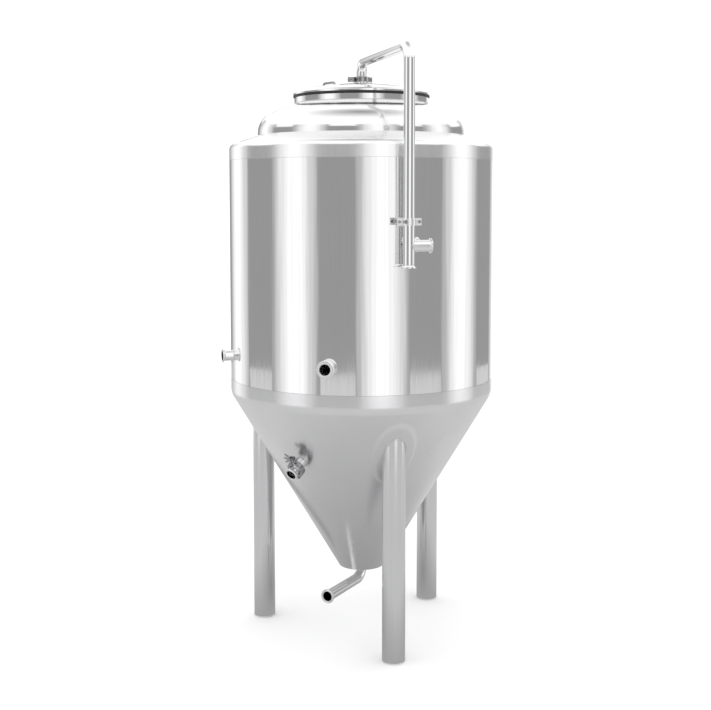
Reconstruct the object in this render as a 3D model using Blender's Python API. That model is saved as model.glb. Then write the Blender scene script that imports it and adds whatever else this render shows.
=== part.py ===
"""Jacketed conical fermenter, about 500 litres, as an assembly of separate pieces.

Metres, +Z up, the tank stands on z = 0. The front is -Y: the front leg and the blow-off
pipe lie there. An azimuth is measured from the front, positive towards +X.
"""
import math

import bmesh
import bpy
from mathutils import Matrix, Vector

# ---- driving dimensions -------------------------------------------------------------
CLEARANCE = 0.0003                 # gap kept between touching pieces

JACKET_RADIUS = 0.480
JACKET_SHEET = 0.0025
JACKET_BOTTOM = 0.944
JACKET_TOP = 1.729

SHOULDER_EDGE = 1.768              # top of the shoulder's upright band
SHOULDER_BEND = 0.022
SHOULDER_SLOPE = math.radians(19)

CONE_HALF_ANGLE = math.radians(31)
CONE_KNUCKLE = 0.060
CONE_TANGENT = 0.905               # height where the band starts to turn into the cone
CONE_BOTTOM = 0.230

VESSEL_RADIUS = 0.377
VESSEL_SHEET = 0.003
VESSEL_CONE_INSET = 0.070          # insulation thickness over the cone
HEAD_TANGENT = 1.829
HEAD_KNUCKLE = 0.1 * 2 * VESSEL_RADIUS
HEAD_CROWN = 2 * VESSEL_RADIUS

COOLING_RADIUS = 0.389
COOLING_SHEET = 0.002
COOLING_BOTTOM = 0.990
COOLING_TOP = 1.670

MANWAY_RADIUS = 0.244
MANWAY_WALL = 0.004
MANWAY_CLEAR_RADIUS = 0.228
MANWAY_TOP = 1.955
MANWAY_LIP = 0.006                 # thickness of the ring the gasket lies on
GASKET_RADIUS = 0.248
GASKET_THICKNESS = 0.0085
LID_SHEET = 0.003
LID_DISH_RADIUS = 0.222
LID_DISH_EDGE = 1.983
LID_CROWN = 2.006
LID_SHOULDER = 0.0085              # drops from the dish edge to the rim's two corners
LID_RIM_DROP = 0.0130
LID_RIM_CHAMFER = 0.005
HANDLE_AZIMUTH = math.radians(-155)
HANDLE_NEAR = 0.148                # radii of the handle's two feet
HANDLE_FAR = 0.214
HANDLE_RISE = 0.019                # its axis above the lid's crown
HANDLE_ROD = 0.005
HANDLE_BEND = 0.012
SPRAY_BALL = 0.032
SPRAY_WALL = 0.002
SPRAY_TUBE = 0.0125
SPRAY_FLANGE = 0.026
SPRAY_MOUTH = 0.006
SPRAY_HEIGHT = HEAD_TANGENT + 0.030

LEG_CIRCLE = 0.381
LEG_RADIUS = 0.040
LEG_WALL = 0.003
FOOT_THICKNESS = 0.005
PAD_THICKNESS = 0.003
PAD_MARGIN = 0.032
FOOT_CHAMFER = 0.001
LEG_AZIMUTHS = {"front": 0.0, "right": math.radians(120), "left": math.radians(-120)}

TUBE_RADIUS = 0.01905              # 38.1 mm sanitary tube
TUBE_BORE = 0.0174
FLANGE_RADIUS = 0.02525            # 50.5 mm clamp ferrule
FLANGE_RIM = 0.00285
FLANGE_BACK = 0.0064
FLANGE_NECK = 0.0008               # how far the flange's taper stands proud of the tube
SEAL_RADIUS = 0.0249
SEAL_HALF = 0.00095                # half the space between two clamped ferrules

ARM_REACH = 0.527                  # tank axis to the blow-off pipe's axis
ARM_HEIGHT = 2.087
ARM_BEND = 0.045
ARM_FERRULE = 0.0127
ARM_BOTTOM = 1.368
BRANCH_HEIGHT = 1.4405
BRANCH_REACH = 0.076
TOP_CLAMP_HEIGHT = 2.023

SUPPORT_HEIGHT = 1.5185
SUPPORT_HALF_HEIGHT = 0.012
SUPPORT_WALL = 0.004
EAR_INNER = 0.020
EAR_OUTER = 0.042
EAR_BOLT = 0.034
SET_SCREW_TURN = math.radians(-40)
SUPPORT_SPLIT = 0.0005             # half the gap between the clip's two halves
SUPPORT_SHANK = 0.0030             # M6 fasteners
SUPPORT_HOLE = 0.0033
SUPPORT_HEAD = 0.0056
SUPPORT_HEAD_HEIGHT = 0.0045
SUPPORT_NUT = 0.0058
SUPPORT_NUT_HEIGHT = 0.005
SUPPORT_BOLT_END = 0.008           # shank past the clip's rear face
SET_SCREW_HEAD = 0.0065
SET_SCREW_HEIGHT = 0.0035
TONGUE_HALF = 0.0082
TONGUE_GAP = 0.0045                # tongue's tip to the jacket
POCKET_HALF = 0.015                # bracket on the jacket that takes the tongue
POCKET_MOUTH = 0.0088
POCKET_DEPTH = 0.014
POCKET_WALL = 0.003
POCKET_BELOW = 0.018
POCKET_ABOVE = 0.014

PORT_HEIGHT = 1.0335
PORT_AZIMUTH = math.radians(-30.5)
PORT_REACH = 0.511
UNION_RADIUS = 0.0295              # round-thread union end of the front port
UNION_CREST = 0.0010               # depth of its thread, and of the lead-in at its face
UNION_LENGTH = 0.0140
UNION_BACK = 0.0200
UNION_BORE = 0.0187
UNION_SEAT = 0.0150
GLYCOL_REACH = 0.519
GLYCOL_IN_AZIMUTH = math.radians(-90)
GLYCOL_OUT_AZIMUTH = math.radians(150)
GLYCOL_OUT_HEIGHT = 1.630

CONE_PORT_AZIMUTH = math.radians(-52.5)
CONE_PORT_HEIGHT = 0.682           # where its axis meets the cone cladding
CONE_PORT_REACH = 0.036            # cladding to the middle of the clamp
CONE_SPOOL = 0.033

OUTLET_AZIMUTH = math.radians(-45)
OUTLET_HEIGHT = 0.180
OUTLET_REACH = 0.258
OUTLET_BEND = 0.040

# clamps, in their own frame: the pipe runs along Z, the hinge is at +X and the bolt at -X
JAW_LIP = 0.0213
JAW_GROOVE = 0.0257
JAW_BACK = 0.0315
JAW_HALF = 0.0095
JAW_CHAMFER = 0.0020
JAW_MOUTH = 0.0068                 # half width of the groove at its lip and at its floor
JAW_FLOOR = 0.0046
JAW_GAP = 0.0012                   # half the space between the two jaws
EAR_GAP = 0.0014
EAR_FACE = 0.0090
EAR_END = -0.0495
EAR_ROOT = -0.0285
EAR_HALF = 0.0083
HINGE_X = 0.0365
HINGE_RADIUS = 0.0050
PIN_RADIUS = 0.0020
PIN_HALF = 0.0105
TONGUE = 0.0028                    # half width of the hinge's tongue
FORK_INNER = 0.0032
FORK_OUTER = 0.0085
STRAP_ROOT = 0.0288
STRAP_NEAR = 0.0015
STRAP_FAR = 0.0044
SMALL_STEP = 0.0002                # keeps faces that are joined from lying in one plane
BOLT_X = -0.0425
BOLT_RADIUS = 0.0030
BOLT_END = -0.036
SLOT_HALF = 0.0036
EYE_OFFSET = 0.0063
EYE_RADIUS = 0.0058
EYE_HALF = 0.0034
CROSS_RADIUS = 0.0032
CROSS_HALF = 0.0085
WASHER_RADIUS = 0.0068
WASHER_THICKNESS = 0.0015
NUT_TOP_RADIUS = 0.0056
NUT_HEIGHT = 0.011
WING_HALF = 0.0014
WING_OUTLINE = [(0.0045, 0.0012), (0.0045, 0.0100), (0.0102, 0.0190), (0.0142, 0.0212),
                (0.0162, 0.0185), (0.0150, 0.0125), (0.0105, 0.0042)]
WING_NUT_TURN = math.radians(20)

SHELL_STEPS = 36
FITTING_STEPS = 16
PIPE_SIDES = 16

# the tank's axis stands off the origin, so that the origin is the middle of the box
AXIS_X = (GLYCOL_REACH - JACKET_RADIUS) / 2
AXIS_Y = (ARM_REACH + FLANGE_RADIUS - JACKET_RADIUS) / 2


# ---- scene and materials ------------------------------------------------------------
def clear_scene():
    for item in list(bpy.data.objects):
        bpy.data.objects.remove(item, do_unlink=True)


def material(name, colour, roughness, metallic):
    made = bpy.data.materials.new(name)
    made.use_nodes = True
    shader = made.node_tree.nodes["Principled BSDF"]
    shader.inputs["Base Color"].default_value = (*colour, 1.0)
    shader.inputs["Roughness"].default_value = roughness
    shader.inputs["Metallic"].default_value = metallic
    made.diffuse_color = (*colour, 1.0)
    return made


def empty(name, location=(0, 0, 0), parent=None):
    made = bpy.data.objects.new(name, None)
    bpy.context.scene.collection.objects.link(made)
    made.location = location
    made.parent = parent
    return made


def place(name, mesh, finish, parent, matrix=None):
    """Put a mesh in the scene as one named piece; finish is (colour, roughness, metallic)."""
    mesh.name = name
    mesh.materials.clear()
    mesh.materials.append(material(name, *finish))
    mesh.shade_smooth()
    mesh.set_sharp_from_angle(angle=math.radians(35))
    made = bpy.data.objects.new(name, mesh)
    bpy.context.scene.collection.objects.link(made)
    made.parent = parent
    if matrix is not None:
        made.matrix_local = matrix
    return made


POLISHED = ((0.80, 0.80, 0.80), 0.08, 1.0)
BRUSHED = ((0.66, 0.66, 0.67), 0.32, 1.0)
CAST = ((0.62, 0.62, 0.63), 0.25, 1.0)
INNER_STEEL = ((0.55, 0.55, 0.56), 0.40, 1.0)
RUBBER = ((0.012, 0.012, 0.012), 0.60, 0.0)
SILICONE = ((0.80, 0.80, 0.78), 0.50, 0.0)
FOAM = ((0.72, 0.62, 0.38), 0.90, 0.0)


# ---- mesh tools ---------------------------------------------------------------------
def finish_mesh(work, name):
    bmesh.ops.remove_doubles(work, verts=work.verts, dist=1e-6)
    bmesh.ops.recalc_face_normals(work, faces=work.faces)
    mesh = bpy.data.meshes.new(name)
    work.to_mesh(mesh)
    work.free()
    return mesh


def revolved(profile, steps=SHELL_STEPS, closed=True):
    """Turn a profile of (radius, height) points about Z. An open profile ends on the axis."""
    work = bmesh.new()
    points = [work.verts.new((radius, 0, height)) for radius, height in profile]
    edges = [work.edges.new(pair) for pair in zip(points, points[1:])]
    if closed:
        edges.append(work.edges.new((points[-1], points[0])))
    bmesh.ops.spin(work, geom=points + edges, cent=(0, 0, 0), axis=(0, 0, 1),
                   angle=2 * math.pi, steps=steps, use_merge=True)
    return finish_mesh(work, "turned")


def arc(centre, radius, start, end, count):
    """Points on an arc in the (radius, height) plane, angles from the +radius direction."""
    angles = [start + (end - start) * step / count for step in range(count + 1)]
    return [(centre[0] + radius * math.cos(a), centre[1] + radius * math.sin(a)) for a in angles]


def extruded(outline, low, high):
    """A plate between two heights, from an outline in the XY plane."""
    work = bmesh.new()
    bottom = work.faces.new([work.verts.new((x, y, low)) for x, y in outline])
    top = bmesh.ops.extrude_face_region(work, geom=[bottom])["geom"]
    moved = [item for item in top if isinstance(item, bmesh.types.BMVert)]
    bmesh.ops.translate(work, verts=moved, vec=(0, 0, high - low))
    return finish_mesh(work, "plate")


def block(low, high):
    outline = [(low[0], low[1]), (high[0], low[1]), (high[0], high[1]), (low[0], high[1])]
    return extruded(outline, low[2], high[2])


def rod(radius, start, end, steps=FITTING_STEPS):
    """A solid round bar between two points."""
    start, end = Vector(start), Vector(end)
    length = (end - start).length
    mesh = revolved([(0, 0), (radius, 0), (radius, length), (0, length)], steps, closed=False)
    turn = Vector((0, 0, 1)).rotation_difference(end - start).to_matrix().to_4x4()
    mesh.transform(Matrix.Translation(start) @ turn)
    return mesh


def boolean(base, tool, operation):
    """A new mesh: base with tool cut away (DIFFERENCE), joined on (UNION) or INTERSECT."""
    base_object = bpy.data.objects.new("base", base)
    tool_object = bpy.data.objects.new("tool", tool)
    for item in (base_object, tool_object):
        bpy.context.scene.collection.objects.link(item)
    modifier = base_object.modifiers.new("boolean", "BOOLEAN")
    modifier.operation = operation
    modifier.solver = "EXACT"
    modifier.object = tool_object
    shapes = bpy.context.evaluated_depsgraph_get()
    result = bpy.data.meshes.new_from_object(base_object.evaluated_get(shapes))
    for item in (base_object, tool_object):
        bpy.data.objects.remove(item, do_unlink=True)
    return result


def filleted(corners, radius, steps=4):
    """A planar path through corners, with every inner corner rounded to radius."""
    path = [Vector(corners[0])]
    for before, corner, after in zip(corners, corners[1:], corners[2:]):
        corner = Vector(corner)
        back = (Vector(before) - corner).normalized()
        onward = (Vector(after) - corner).normalized()
        half = back.angle(onward) / 2
        centre = corner + (back + onward).normalized() * radius / math.sin(half)
        start = corner + back * radius / math.tan(half) - centre
        axis = start.cross(corner - centre)
        sweep = math.pi - 2 * half
        for step in range(steps + 1):
            turn = Matrix.Rotation(sweep * step / steps, 3, axis)
            path.append(centre + turn @ start)
    path.append(Vector(corners[-1]))
    return path


def swept(path, normal, outer, inner=None, sides=PIPE_SIDES):
    """A round bar, or a pipe if inner is given, along a path in the plane of normal."""
    work = bmesh.new()
    rings = {radius: [] for radius in (outer, inner) if radius}
    for index, point in enumerate(path):
        ahead = path[min(index + 1, len(path) - 1)] - point
        behind = point - path[max(index - 1, 0)]
        tangent = (ahead.normalized() + behind.normalized()).normalized()
        side = Vector(normal).normalized()
        across = tangent.cross(side)
        for radius, made in rings.items():
            angles = [2 * math.pi * step / sides for step in range(sides)]
            made.append([work.verts.new(point + radius * (math.cos(a) * side + math.sin(a) * across))
                         for a in angles])
    for made in rings.values():
        for low, high in zip(made, made[1:]):
            for step in range(sides):
                after = (step + 1) % sides
                work.faces.new((low[step], low[after], high[after], high[step]))
    for end in (0, -1):
        if inner:
            outside, inside = rings[outer][end], rings[inner][end]
            for step in range(sides):
                after = (step + 1) % sides
                work.faces.new((outside[step], outside[after], inside[after], inside[step]))
        else:
            work.faces.new(rings[outer][end])
    return finish_mesh(work, "swept")


def radial(azimuth, radius, height, dip=0.0):
    """A frame on the tank, its +Z pointing outward at azimuth, turned down by dip."""
    spin = Matrix.Rotation(azimuth - math.pi / 2, 4, "Z")
    lean = Matrix.Rotation(math.pi / 2 + dip, 4, "Y")
    spot = Vector((math.sin(azimuth) * radius, -math.cos(azimuth) * radius, height))
    return Matrix.Translation(spot) @ spin @ lean


# ---- sanitary fittings --------------------------------------------------------------
def ferrule(length, bore=TUBE_BORE):
    """A clamp ferrule whose sealing face is at z = 0 and whose tube runs down to -length."""
    return revolved([
        (bore, 0), (FLANGE_RADIUS, 0), (FLANGE_RADIUS, -FLANGE_RIM),
        (TUBE_RADIUS + FLANGE_NECK, -FLANGE_BACK + FLANGE_NECK), (TUBE_RADIUS, -FLANGE_BACK),
        (TUBE_RADIUS, -length), (bore, -length)], FITTING_STEPS)


def union_end(length):
    """A male union end with its face at z = 0, its round thread as one plain cylinder."""
    return revolved([
        (UNION_BORE, 0), (UNION_RADIUS - UNION_CREST, 0), (UNION_RADIUS, -UNION_CREST),
        (UNION_RADIUS, -UNION_LENGTH), (TUBE_RADIUS, -UNION_BACK), (TUBE_RADIUS, -length),
        (TUBE_BORE, -length), (TUBE_BORE, -UNION_BACK), (UNION_BORE, -UNION_SEAT)], FITTING_STEPS)


def open_spool(length):
    """A short tube with a clamp flange at z = 0 and another at -length."""
    edge = [(FLANGE_RADIUS, 0), (FLANGE_RADIUS, -FLANGE_RIM), (TUBE_RADIUS, -FLANGE_BACK)]
    far_edge = [(radius, -length - height) for radius, height in edge[::-1]]
    return revolved([(TUBE_BORE, 0), *edge, *far_edge, (TUBE_BORE, -length)], FITTING_STEPS)


def seal_ring():
    """The clamp gasket between two ferrules, centred on z = 0."""
    half = SEAL_HALF - CLEARANCE
    return revolved([(TUBE_BORE, -half), (SEAL_RADIUS, -half), (SEAL_RADIUS, half),
                     (TUBE_BORE, half)], FITTING_STEPS)


def clamp_jaw():
    """One half of a clamp, on the +Y side: a grooved half ring with an ear for the bolt."""
    bevel = JAW_BACK - JAW_CHAMFER
    side = JAW_HALF - JAW_CHAMFER
    ring = revolved([
        (JAW_LIP, -JAW_HALF), (bevel, -JAW_HALF), (JAW_BACK, -side), (JAW_BACK, side),
        (bevel, JAW_HALF), (JAW_LIP, JAW_HALF), (JAW_LIP, JAW_MOUTH), (JAW_GROOVE, JAW_FLOOR),
        (JAW_GROOVE, -JAW_FLOOR), (JAW_LIP, -JAW_MOUTH)], 24)
    room = 2 * JAW_BACK
    jaw = boolean(ring, block((-room, JAW_GAP, -room), (room, room, room)), "INTERSECT")
    ear = block((EAR_END, EAR_GAP, -EAR_HALF), (EAR_ROOT, EAR_FACE, EAR_HALF))
    return boolean(jaw, ear, "UNION")


def hinge_round(radius, low, high):
    """A disc of the clamp's hinge between two levels."""
    mesh = revolved([(0, low), (radius, low), (radius, high), (0, high)], 12, closed=False)
    mesh.transform(Matrix.Translation((HINGE_X, 0, 0)))
    return mesh


def clamp_halves():
    """Both jaws of a clamp: the near one (-Y) carries a fork, the far one (+Y) a tongue."""
    room = 2 * JAW_BACK
    slot = block((-room, -room, -SLOT_HALF), (BOLT_X + SLOT_HALF, room, SLOT_HALF))
    hole = rod(PIN_RADIUS + 2 * SMALL_STEP, (HINGE_X, 0, -room), (HINGE_X, 0, room), 8)
    tongue = ((-TONGUE, TONGUE),)
    fork = ((-FORK_OUTER, -FORK_INNER), (FORK_INNER, FORK_OUTER))
    near_room = ((-TONGUE - CLEARANCE, TONGUE + CLEARANCE),)
    past = FORK_OUTER + 2 * EAR_GAP
    far_room = ((-past, -FORK_INNER + CLEARANCE), (FORK_INNER - CLEARANCE, past))
    halves = []
    for side, levels, rooms in ((1, tongue, far_room), (-1, fork, near_room)):
        jaw = clamp_jaw()
        if side < 0:
            jaw.transform(Matrix.Rotation(math.pi, 4, "X"))
        for low, high in levels:
            strap = sorted((side * STRAP_NEAR, side * STRAP_FAR))
            link = block((STRAP_ROOT, strap[0], low + SMALL_STEP),
                         (HINGE_X + 5 * SMALL_STEP, strap[1], high - SMALL_STEP))
            knuckle = boolean(hinge_round(HINGE_RADIUS, low, high), link, "UNION")
            jaw = boolean(jaw, knuckle, "UNION")
        for low, high in rooms:
            jaw = boolean(jaw, hinge_round(HINGE_RADIUS + CLEARANCE, low, high), "DIFFERENCE")
        halves.append(boolean(boolean(jaw, slot, "DIFFERENCE"), hole, "DIFFERENCE"))
    return halves


def swing_bolt():
    """Eye bolt of a clamp: its eye sits outside the far ear, its shank lies along -Y."""
    across = EAR_FACE + EYE_OFFSET
    eye = rod(EYE_RADIUS, (BOLT_X, across, -EYE_HALF), (BOLT_X, across, EYE_HALF))
    shank = rod(BOLT_RADIUS, (BOLT_X, across - 2 * EAR_GAP + SMALL_STEP, 0), (BOLT_X, BOLT_END, 0))
    cross = rod(CROSS_RADIUS, (BOLT_X, across, -CROSS_HALF), (BOLT_X, across, CROSS_HALF), 12)
    return boolean(boolean(eye, shank, "UNION"), cross, "UNION")


def washer():
    bore = BOLT_RADIUS + CLEARANCE
    return revolved([(bore, 0), (WASHER_RADIUS, 0), (WASHER_RADIUS, WASHER_THICKNESS),
                     (bore, WASHER_THICKNESS)], FITTING_STEPS)


def wing_nut():
    """A wing nut on the +Z axis, its base at z = 0."""
    bore = BOLT_RADIUS + CLEARANCE
    body = revolved([(bore, 0), (WASHER_RADIUS, 0), (NUT_TOP_RADIUS, NUT_HEIGHT), (bore, NUT_HEIGHT)],
                    FITTING_STEPS)
    for side in (1, -1):
        wing = extruded([(side * x, z) for x, z in WING_OUTLINE], -WING_HALF, WING_HALF)
        wing.transform(Matrix.Rotation(math.pi / 2, 4, "X"))
        body = boolean(body, wing, "UNION")
    return body


def add_clamp(prefix, clamp_frame):
    """All the pieces of one clamp, round clamp_frame's Z axis."""
    far, near = clamp_halves()
    place(prefix + "_jaw_far", far, CAST, clamp_frame)
    place(prefix + "_jaw_near", near, CAST, clamp_frame)
    pin = rod(PIN_RADIUS, (HINGE_X, 0, -PIN_HALF), (HINGE_X, 0, PIN_HALF), 8)
    place(prefix + "_hinge_pin", pin, CAST, clamp_frame)
    place(prefix + "_swing_bolt", swing_bolt(), CAST, clamp_frame)
    along_bolt = Matrix.Translation((BOLT_X, -EAR_FACE - CLEARANCE, 0)) @ Matrix.Rotation(
        math.pi / 2, 4, "X")
    place(prefix + "_washer", washer(), CAST, clamp_frame, along_bolt)
    outside = Matrix.Translation((0, 0, WASHER_THICKNESS + CLEARANCE))
    nut_place = along_bolt @ outside @ Matrix.Rotation(WING_NUT_TURN, 4, "Z")
    place(prefix + "_wing_nut", wing_nut(), CAST, clamp_frame, nut_place)


# ---- the tank's outlines ------------------------------------------------------------
def cone_line(height, inset=0.0):
    """Radius of the cone cladding's outer line at a height, moved inward by inset."""
    end_radius = JACKET_RADIUS - CONE_KNUCKLE * (1 - math.cos(CONE_HALF_ANGLE))
    end_height = CONE_TANGENT - CONE_KNUCKLE * math.sin(CONE_HALF_ANGLE)
    run = (height - end_height) * math.tan(CONE_HALF_ANGLE)
    return end_radius + run - inset / math.cos(CONE_HALF_ANGLE)


def cladding_outline(inset, top, bottom):
    """Band, knuckle and cone from top to bottom, moved inward by inset."""
    knuckle = arc((JACKET_RADIUS - CONE_KNUCKLE, CONE_TANGENT), CONE_KNUCKLE - inset,
                  0, -CONE_HALF_ANGLE, 3)
    return [(JACKET_RADIUS - inset, top), *knuckle, (cone_line(bottom, inset), bottom)]


def vessel_outline(inset):
    """The vessel from its manway hole down to its outlet, moved inward by inset."""
    crown_centre = HEAD_TANGENT + math.sqrt(
        (HEAD_CROWN - HEAD_KNUCKLE) ** 2 - (VESSEL_RADIUS - HEAD_KNUCKLE) ** 2) * -1
    meet = math.asin((VESSEL_RADIUS - HEAD_KNUCKLE) / (HEAD_CROWN - HEAD_KNUCKLE))
    rim = math.asin((MANWAY_RADIUS - MANWAY_WALL) / (HEAD_CROWN - inset))
    upright = math.pi / 2
    crown = arc((0, crown_centre), HEAD_CROWN - inset, upright - rim, upright - meet, 2)
    knuckle = arc((VESSEL_RADIUS - HEAD_KNUCKLE, HEAD_TANGENT), HEAD_KNUCKLE - inset,
                  upright - meet, 0, 3)
    depth = VESSEL_CONE_INSET + inset
    rim_height = CONE_TANGENT
    cone_top = rim_height + (VESSEL_RADIUS - inset - cone_line(rim_height, depth)) / math.tan(
        CONE_HALF_ANGLE)
    throat_radius = TUBE_RADIUS - inset
    throat = rim_height + (throat_radius - cone_line(rim_height, depth)) / math.tan(CONE_HALF_ANGLE)
    return [*crown, *knuckle[1:], (VESSEL_RADIUS - inset, cone_top), (throat_radius, throat)]


def radial_cutter(azimuth, height, radius, near, far, dip=0.0, start=0.0):
    mesh = rod(radius, (0, 0, near), (0, 0, far), FITTING_STEPS)
    mesh.transform(radial(azimuth, start, height, dip))
    return mesh


def cut_ports(mesh, radii):
    """Cut the ports through a shell; radii maps each port's name to its hole radius."""
    for name, radius in radii.items():
        mesh = boolean(mesh, PORT_CUTTERS[name](radius), "DIFFERENCE")
    return mesh


CONE_PORT_RADIUS = cone_line(CONE_PORT_HEIGHT)
PORT_CUTTERS = {
    "front": lambda radius: radial_cutter(PORT_AZIMUTH, PORT_HEIGHT, radius, 0.30, 0.60),
    "glycol_in": lambda radius: radial_cutter(GLYCOL_IN_AZIMUTH, PORT_HEIGHT, radius, 0.30, 0.60),
    "glycol_out": lambda radius: radial_cutter(
        GLYCOL_OUT_AZIMUTH, GLYCOL_OUT_HEIGHT, radius, 0.30, 0.60),
    "cone": lambda radius: radial_cutter(
        CONE_PORT_AZIMUTH, CONE_PORT_HEIGHT, radius, -0.12, 0.05, CONE_HALF_ANGLE, CONE_PORT_RADIUS),
}
NECK_HOLE = TUBE_RADIUS + CLEARANCE


# ---- sub-parts ----------------------------------------------------------------------
def add_shells(tank):
    vessel = revolved(vessel_outline(0) + vessel_outline(VESSEL_SHEET)[::-1])
    place("inner_vessel", cut_ports(vessel, {"front": TUBE_BORE, "cone": TUBE_BORE}),
          INNER_STEEL, tank)

    inner = VESSEL_RADIUS + CLEARANCE
    sheet = COOLING_RADIUS - COOLING_SHEET
    cooling = revolved([
        (inner, COOLING_TOP), (COOLING_RADIUS, COOLING_TOP), (COOLING_RADIUS, COOLING_BOTTOM),
        (inner, COOLING_BOTTOM), (inner, COOLING_BOTTOM + COOLING_SHEET),
        (sheet, COOLING_BOTTOM + COOLING_SHEET), (sheet, COOLING_TOP - COOLING_SHEET),
        (inner, COOLING_TOP - COOLING_SHEET)])
    holes = {"front": NECK_HOLE, "glycol_in": TUBE_BORE, "glycol_out": TUBE_BORE}
    place("cooling_jacket", cut_ports(cooling, holes), INNER_STEEL, tank)

    shell = revolved([
        (JACKET_RADIUS - JACKET_SHEET, JACKET_TOP), (JACKET_RADIUS, JACKET_TOP),
        (JACKET_RADIUS, JACKET_BOTTOM), (JACKET_RADIUS - JACKET_SHEET, JACKET_BOTTOM)])
    necks = {"front": NECK_HOLE, "glycol_in": NECK_HOLE, "glycol_out": NECK_HOLE}
    place("jacket_shell", cut_ports(shell, necks), POLISHED, tank)

    foam_radius = JACKET_RADIUS - JACKET_SHEET - CLEARANCE
    side = revolved([
        (COOLING_RADIUS + CLEARANCE, SHOULDER_EDGE), (foam_radius, SHOULDER_EDGE),
        (foam_radius, CONE_TANGENT), (COOLING_RADIUS + CLEARANCE, CONE_TANGENT)])
    place("side_insulation", cut_ports(side, necks), FOAM, tank)

    gap = JACKET_SHEET + CLEARANCE
    top = CONE_TANGENT - CLEARANCE
    outer = cladding_outline(gap, top, CONE_BOTTOM + 2 * JACKET_SHEET)
    depth = VESSEL_CONE_INSET - CLEARANCE
    low = outer[-1][1]
    start = top + (VESSEL_RADIUS + CLEARANCE - cone_line(top, depth)) / math.tan(CONE_HALF_ANGLE)
    throat = top + (NECK_HOLE - cone_line(top, depth)) / math.tan(CONE_HALF_ANGLE)
    inner = [(NECK_HOLE, low), (NECK_HOLE, throat), (VESSEL_RADIUS + CLEARANCE, start),
             (VESSEL_RADIUS + CLEARANCE, top)]
    place("cone_insulation", cut_ports(revolved(outer[1:] + inner), {"cone": NECK_HOLE}), FOAM, tank)

    seam = JACKET_BOTTOM - CLEARANCE
    cladding = revolved(cladding_outline(0, seam, CONE_BOTTOM)
                        + cladding_outline(JACKET_SHEET, seam, CONE_BOTTOM)[::-1])
    place("cone_cladding", cut_ports(cladding, {"cone": NECK_HOLE}), BRUSHED, tank)

    cap_radius = cone_line(CONE_BOTTOM, JACKET_SHEET) - CLEARANCE
    cap = revolved([(NECK_HOLE, CONE_BOTTOM), (cap_radius, CONE_BOTTOM),
                    (cap_radius, CONE_BOTTOM + JACKET_SHEET), (NECK_HOLE, CONE_BOTTOM + JACKET_SHEET)])
    place("cone_end_cap", cap, BRUSHED, tank)


def add_shoulder(tank):
    """Top cladding: an upright band, a rolled edge and a slope up to the vessel's head."""
    def outline(inset):
        bend = arc((JACKET_RADIUS - SHOULDER_BEND, SHOULDER_EDGE), SHOULDER_BEND - inset,
                   0, math.pi / 2 - SHOULDER_SLOPE, 3)
        edge = VESSEL_RADIUS + CLEARANCE
        rise = (bend[-1][0] - edge) * math.tan(SHOULDER_SLOPE)
        return [(JACKET_RADIUS - inset, JACKET_TOP + CLEARANCE), *bend, (edge, bend[-1][1] + rise)]
    place("top_shoulder", revolved(outline(0) + outline(JACKET_SHEET)[::-1]), BRUSHED, tank)


def head_height(radius):
    """Height of the vessel head's outer surface at a radius on its crown."""
    centre = HEAD_TANGENT - math.sqrt(
        (HEAD_CROWN - HEAD_KNUCKLE) ** 2 - (VESSEL_RADIUS - HEAD_KNUCKLE) ** 2)
    return centre + math.sqrt(HEAD_CROWN ** 2 - radius ** 2)


def add_manway(tank):
    inside = MANWAY_RADIUS - MANWAY_WALL
    collar = revolved([
        (MANWAY_RADIUS, MANWAY_TOP), (MANWAY_RADIUS, head_height(MANWAY_RADIUS) + CLEARANCE),
        (inside, head_height(inside) + CLEARANCE), (inside, MANWAY_TOP - MANWAY_LIP),
        (MANWAY_CLEAR_RADIUS, MANWAY_TOP - MANWAY_LIP), (MANWAY_CLEAR_RADIUS, MANWAY_TOP)])
    place("manway_collar", collar, POLISHED, tank)
    low, high = MANWAY_TOP + CLEARANCE, MANWAY_TOP + GASKET_THICKNESS
    gasket = revolved([
        (MANWAY_CLEAR_RADIUS, high), (GASKET_RADIUS, high), (GASKET_RADIUS, low),
        (MANWAY_CLEAR_RADIUS, low)])
    place("manway_gasket", gasket, RUBBER, tank)


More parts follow.
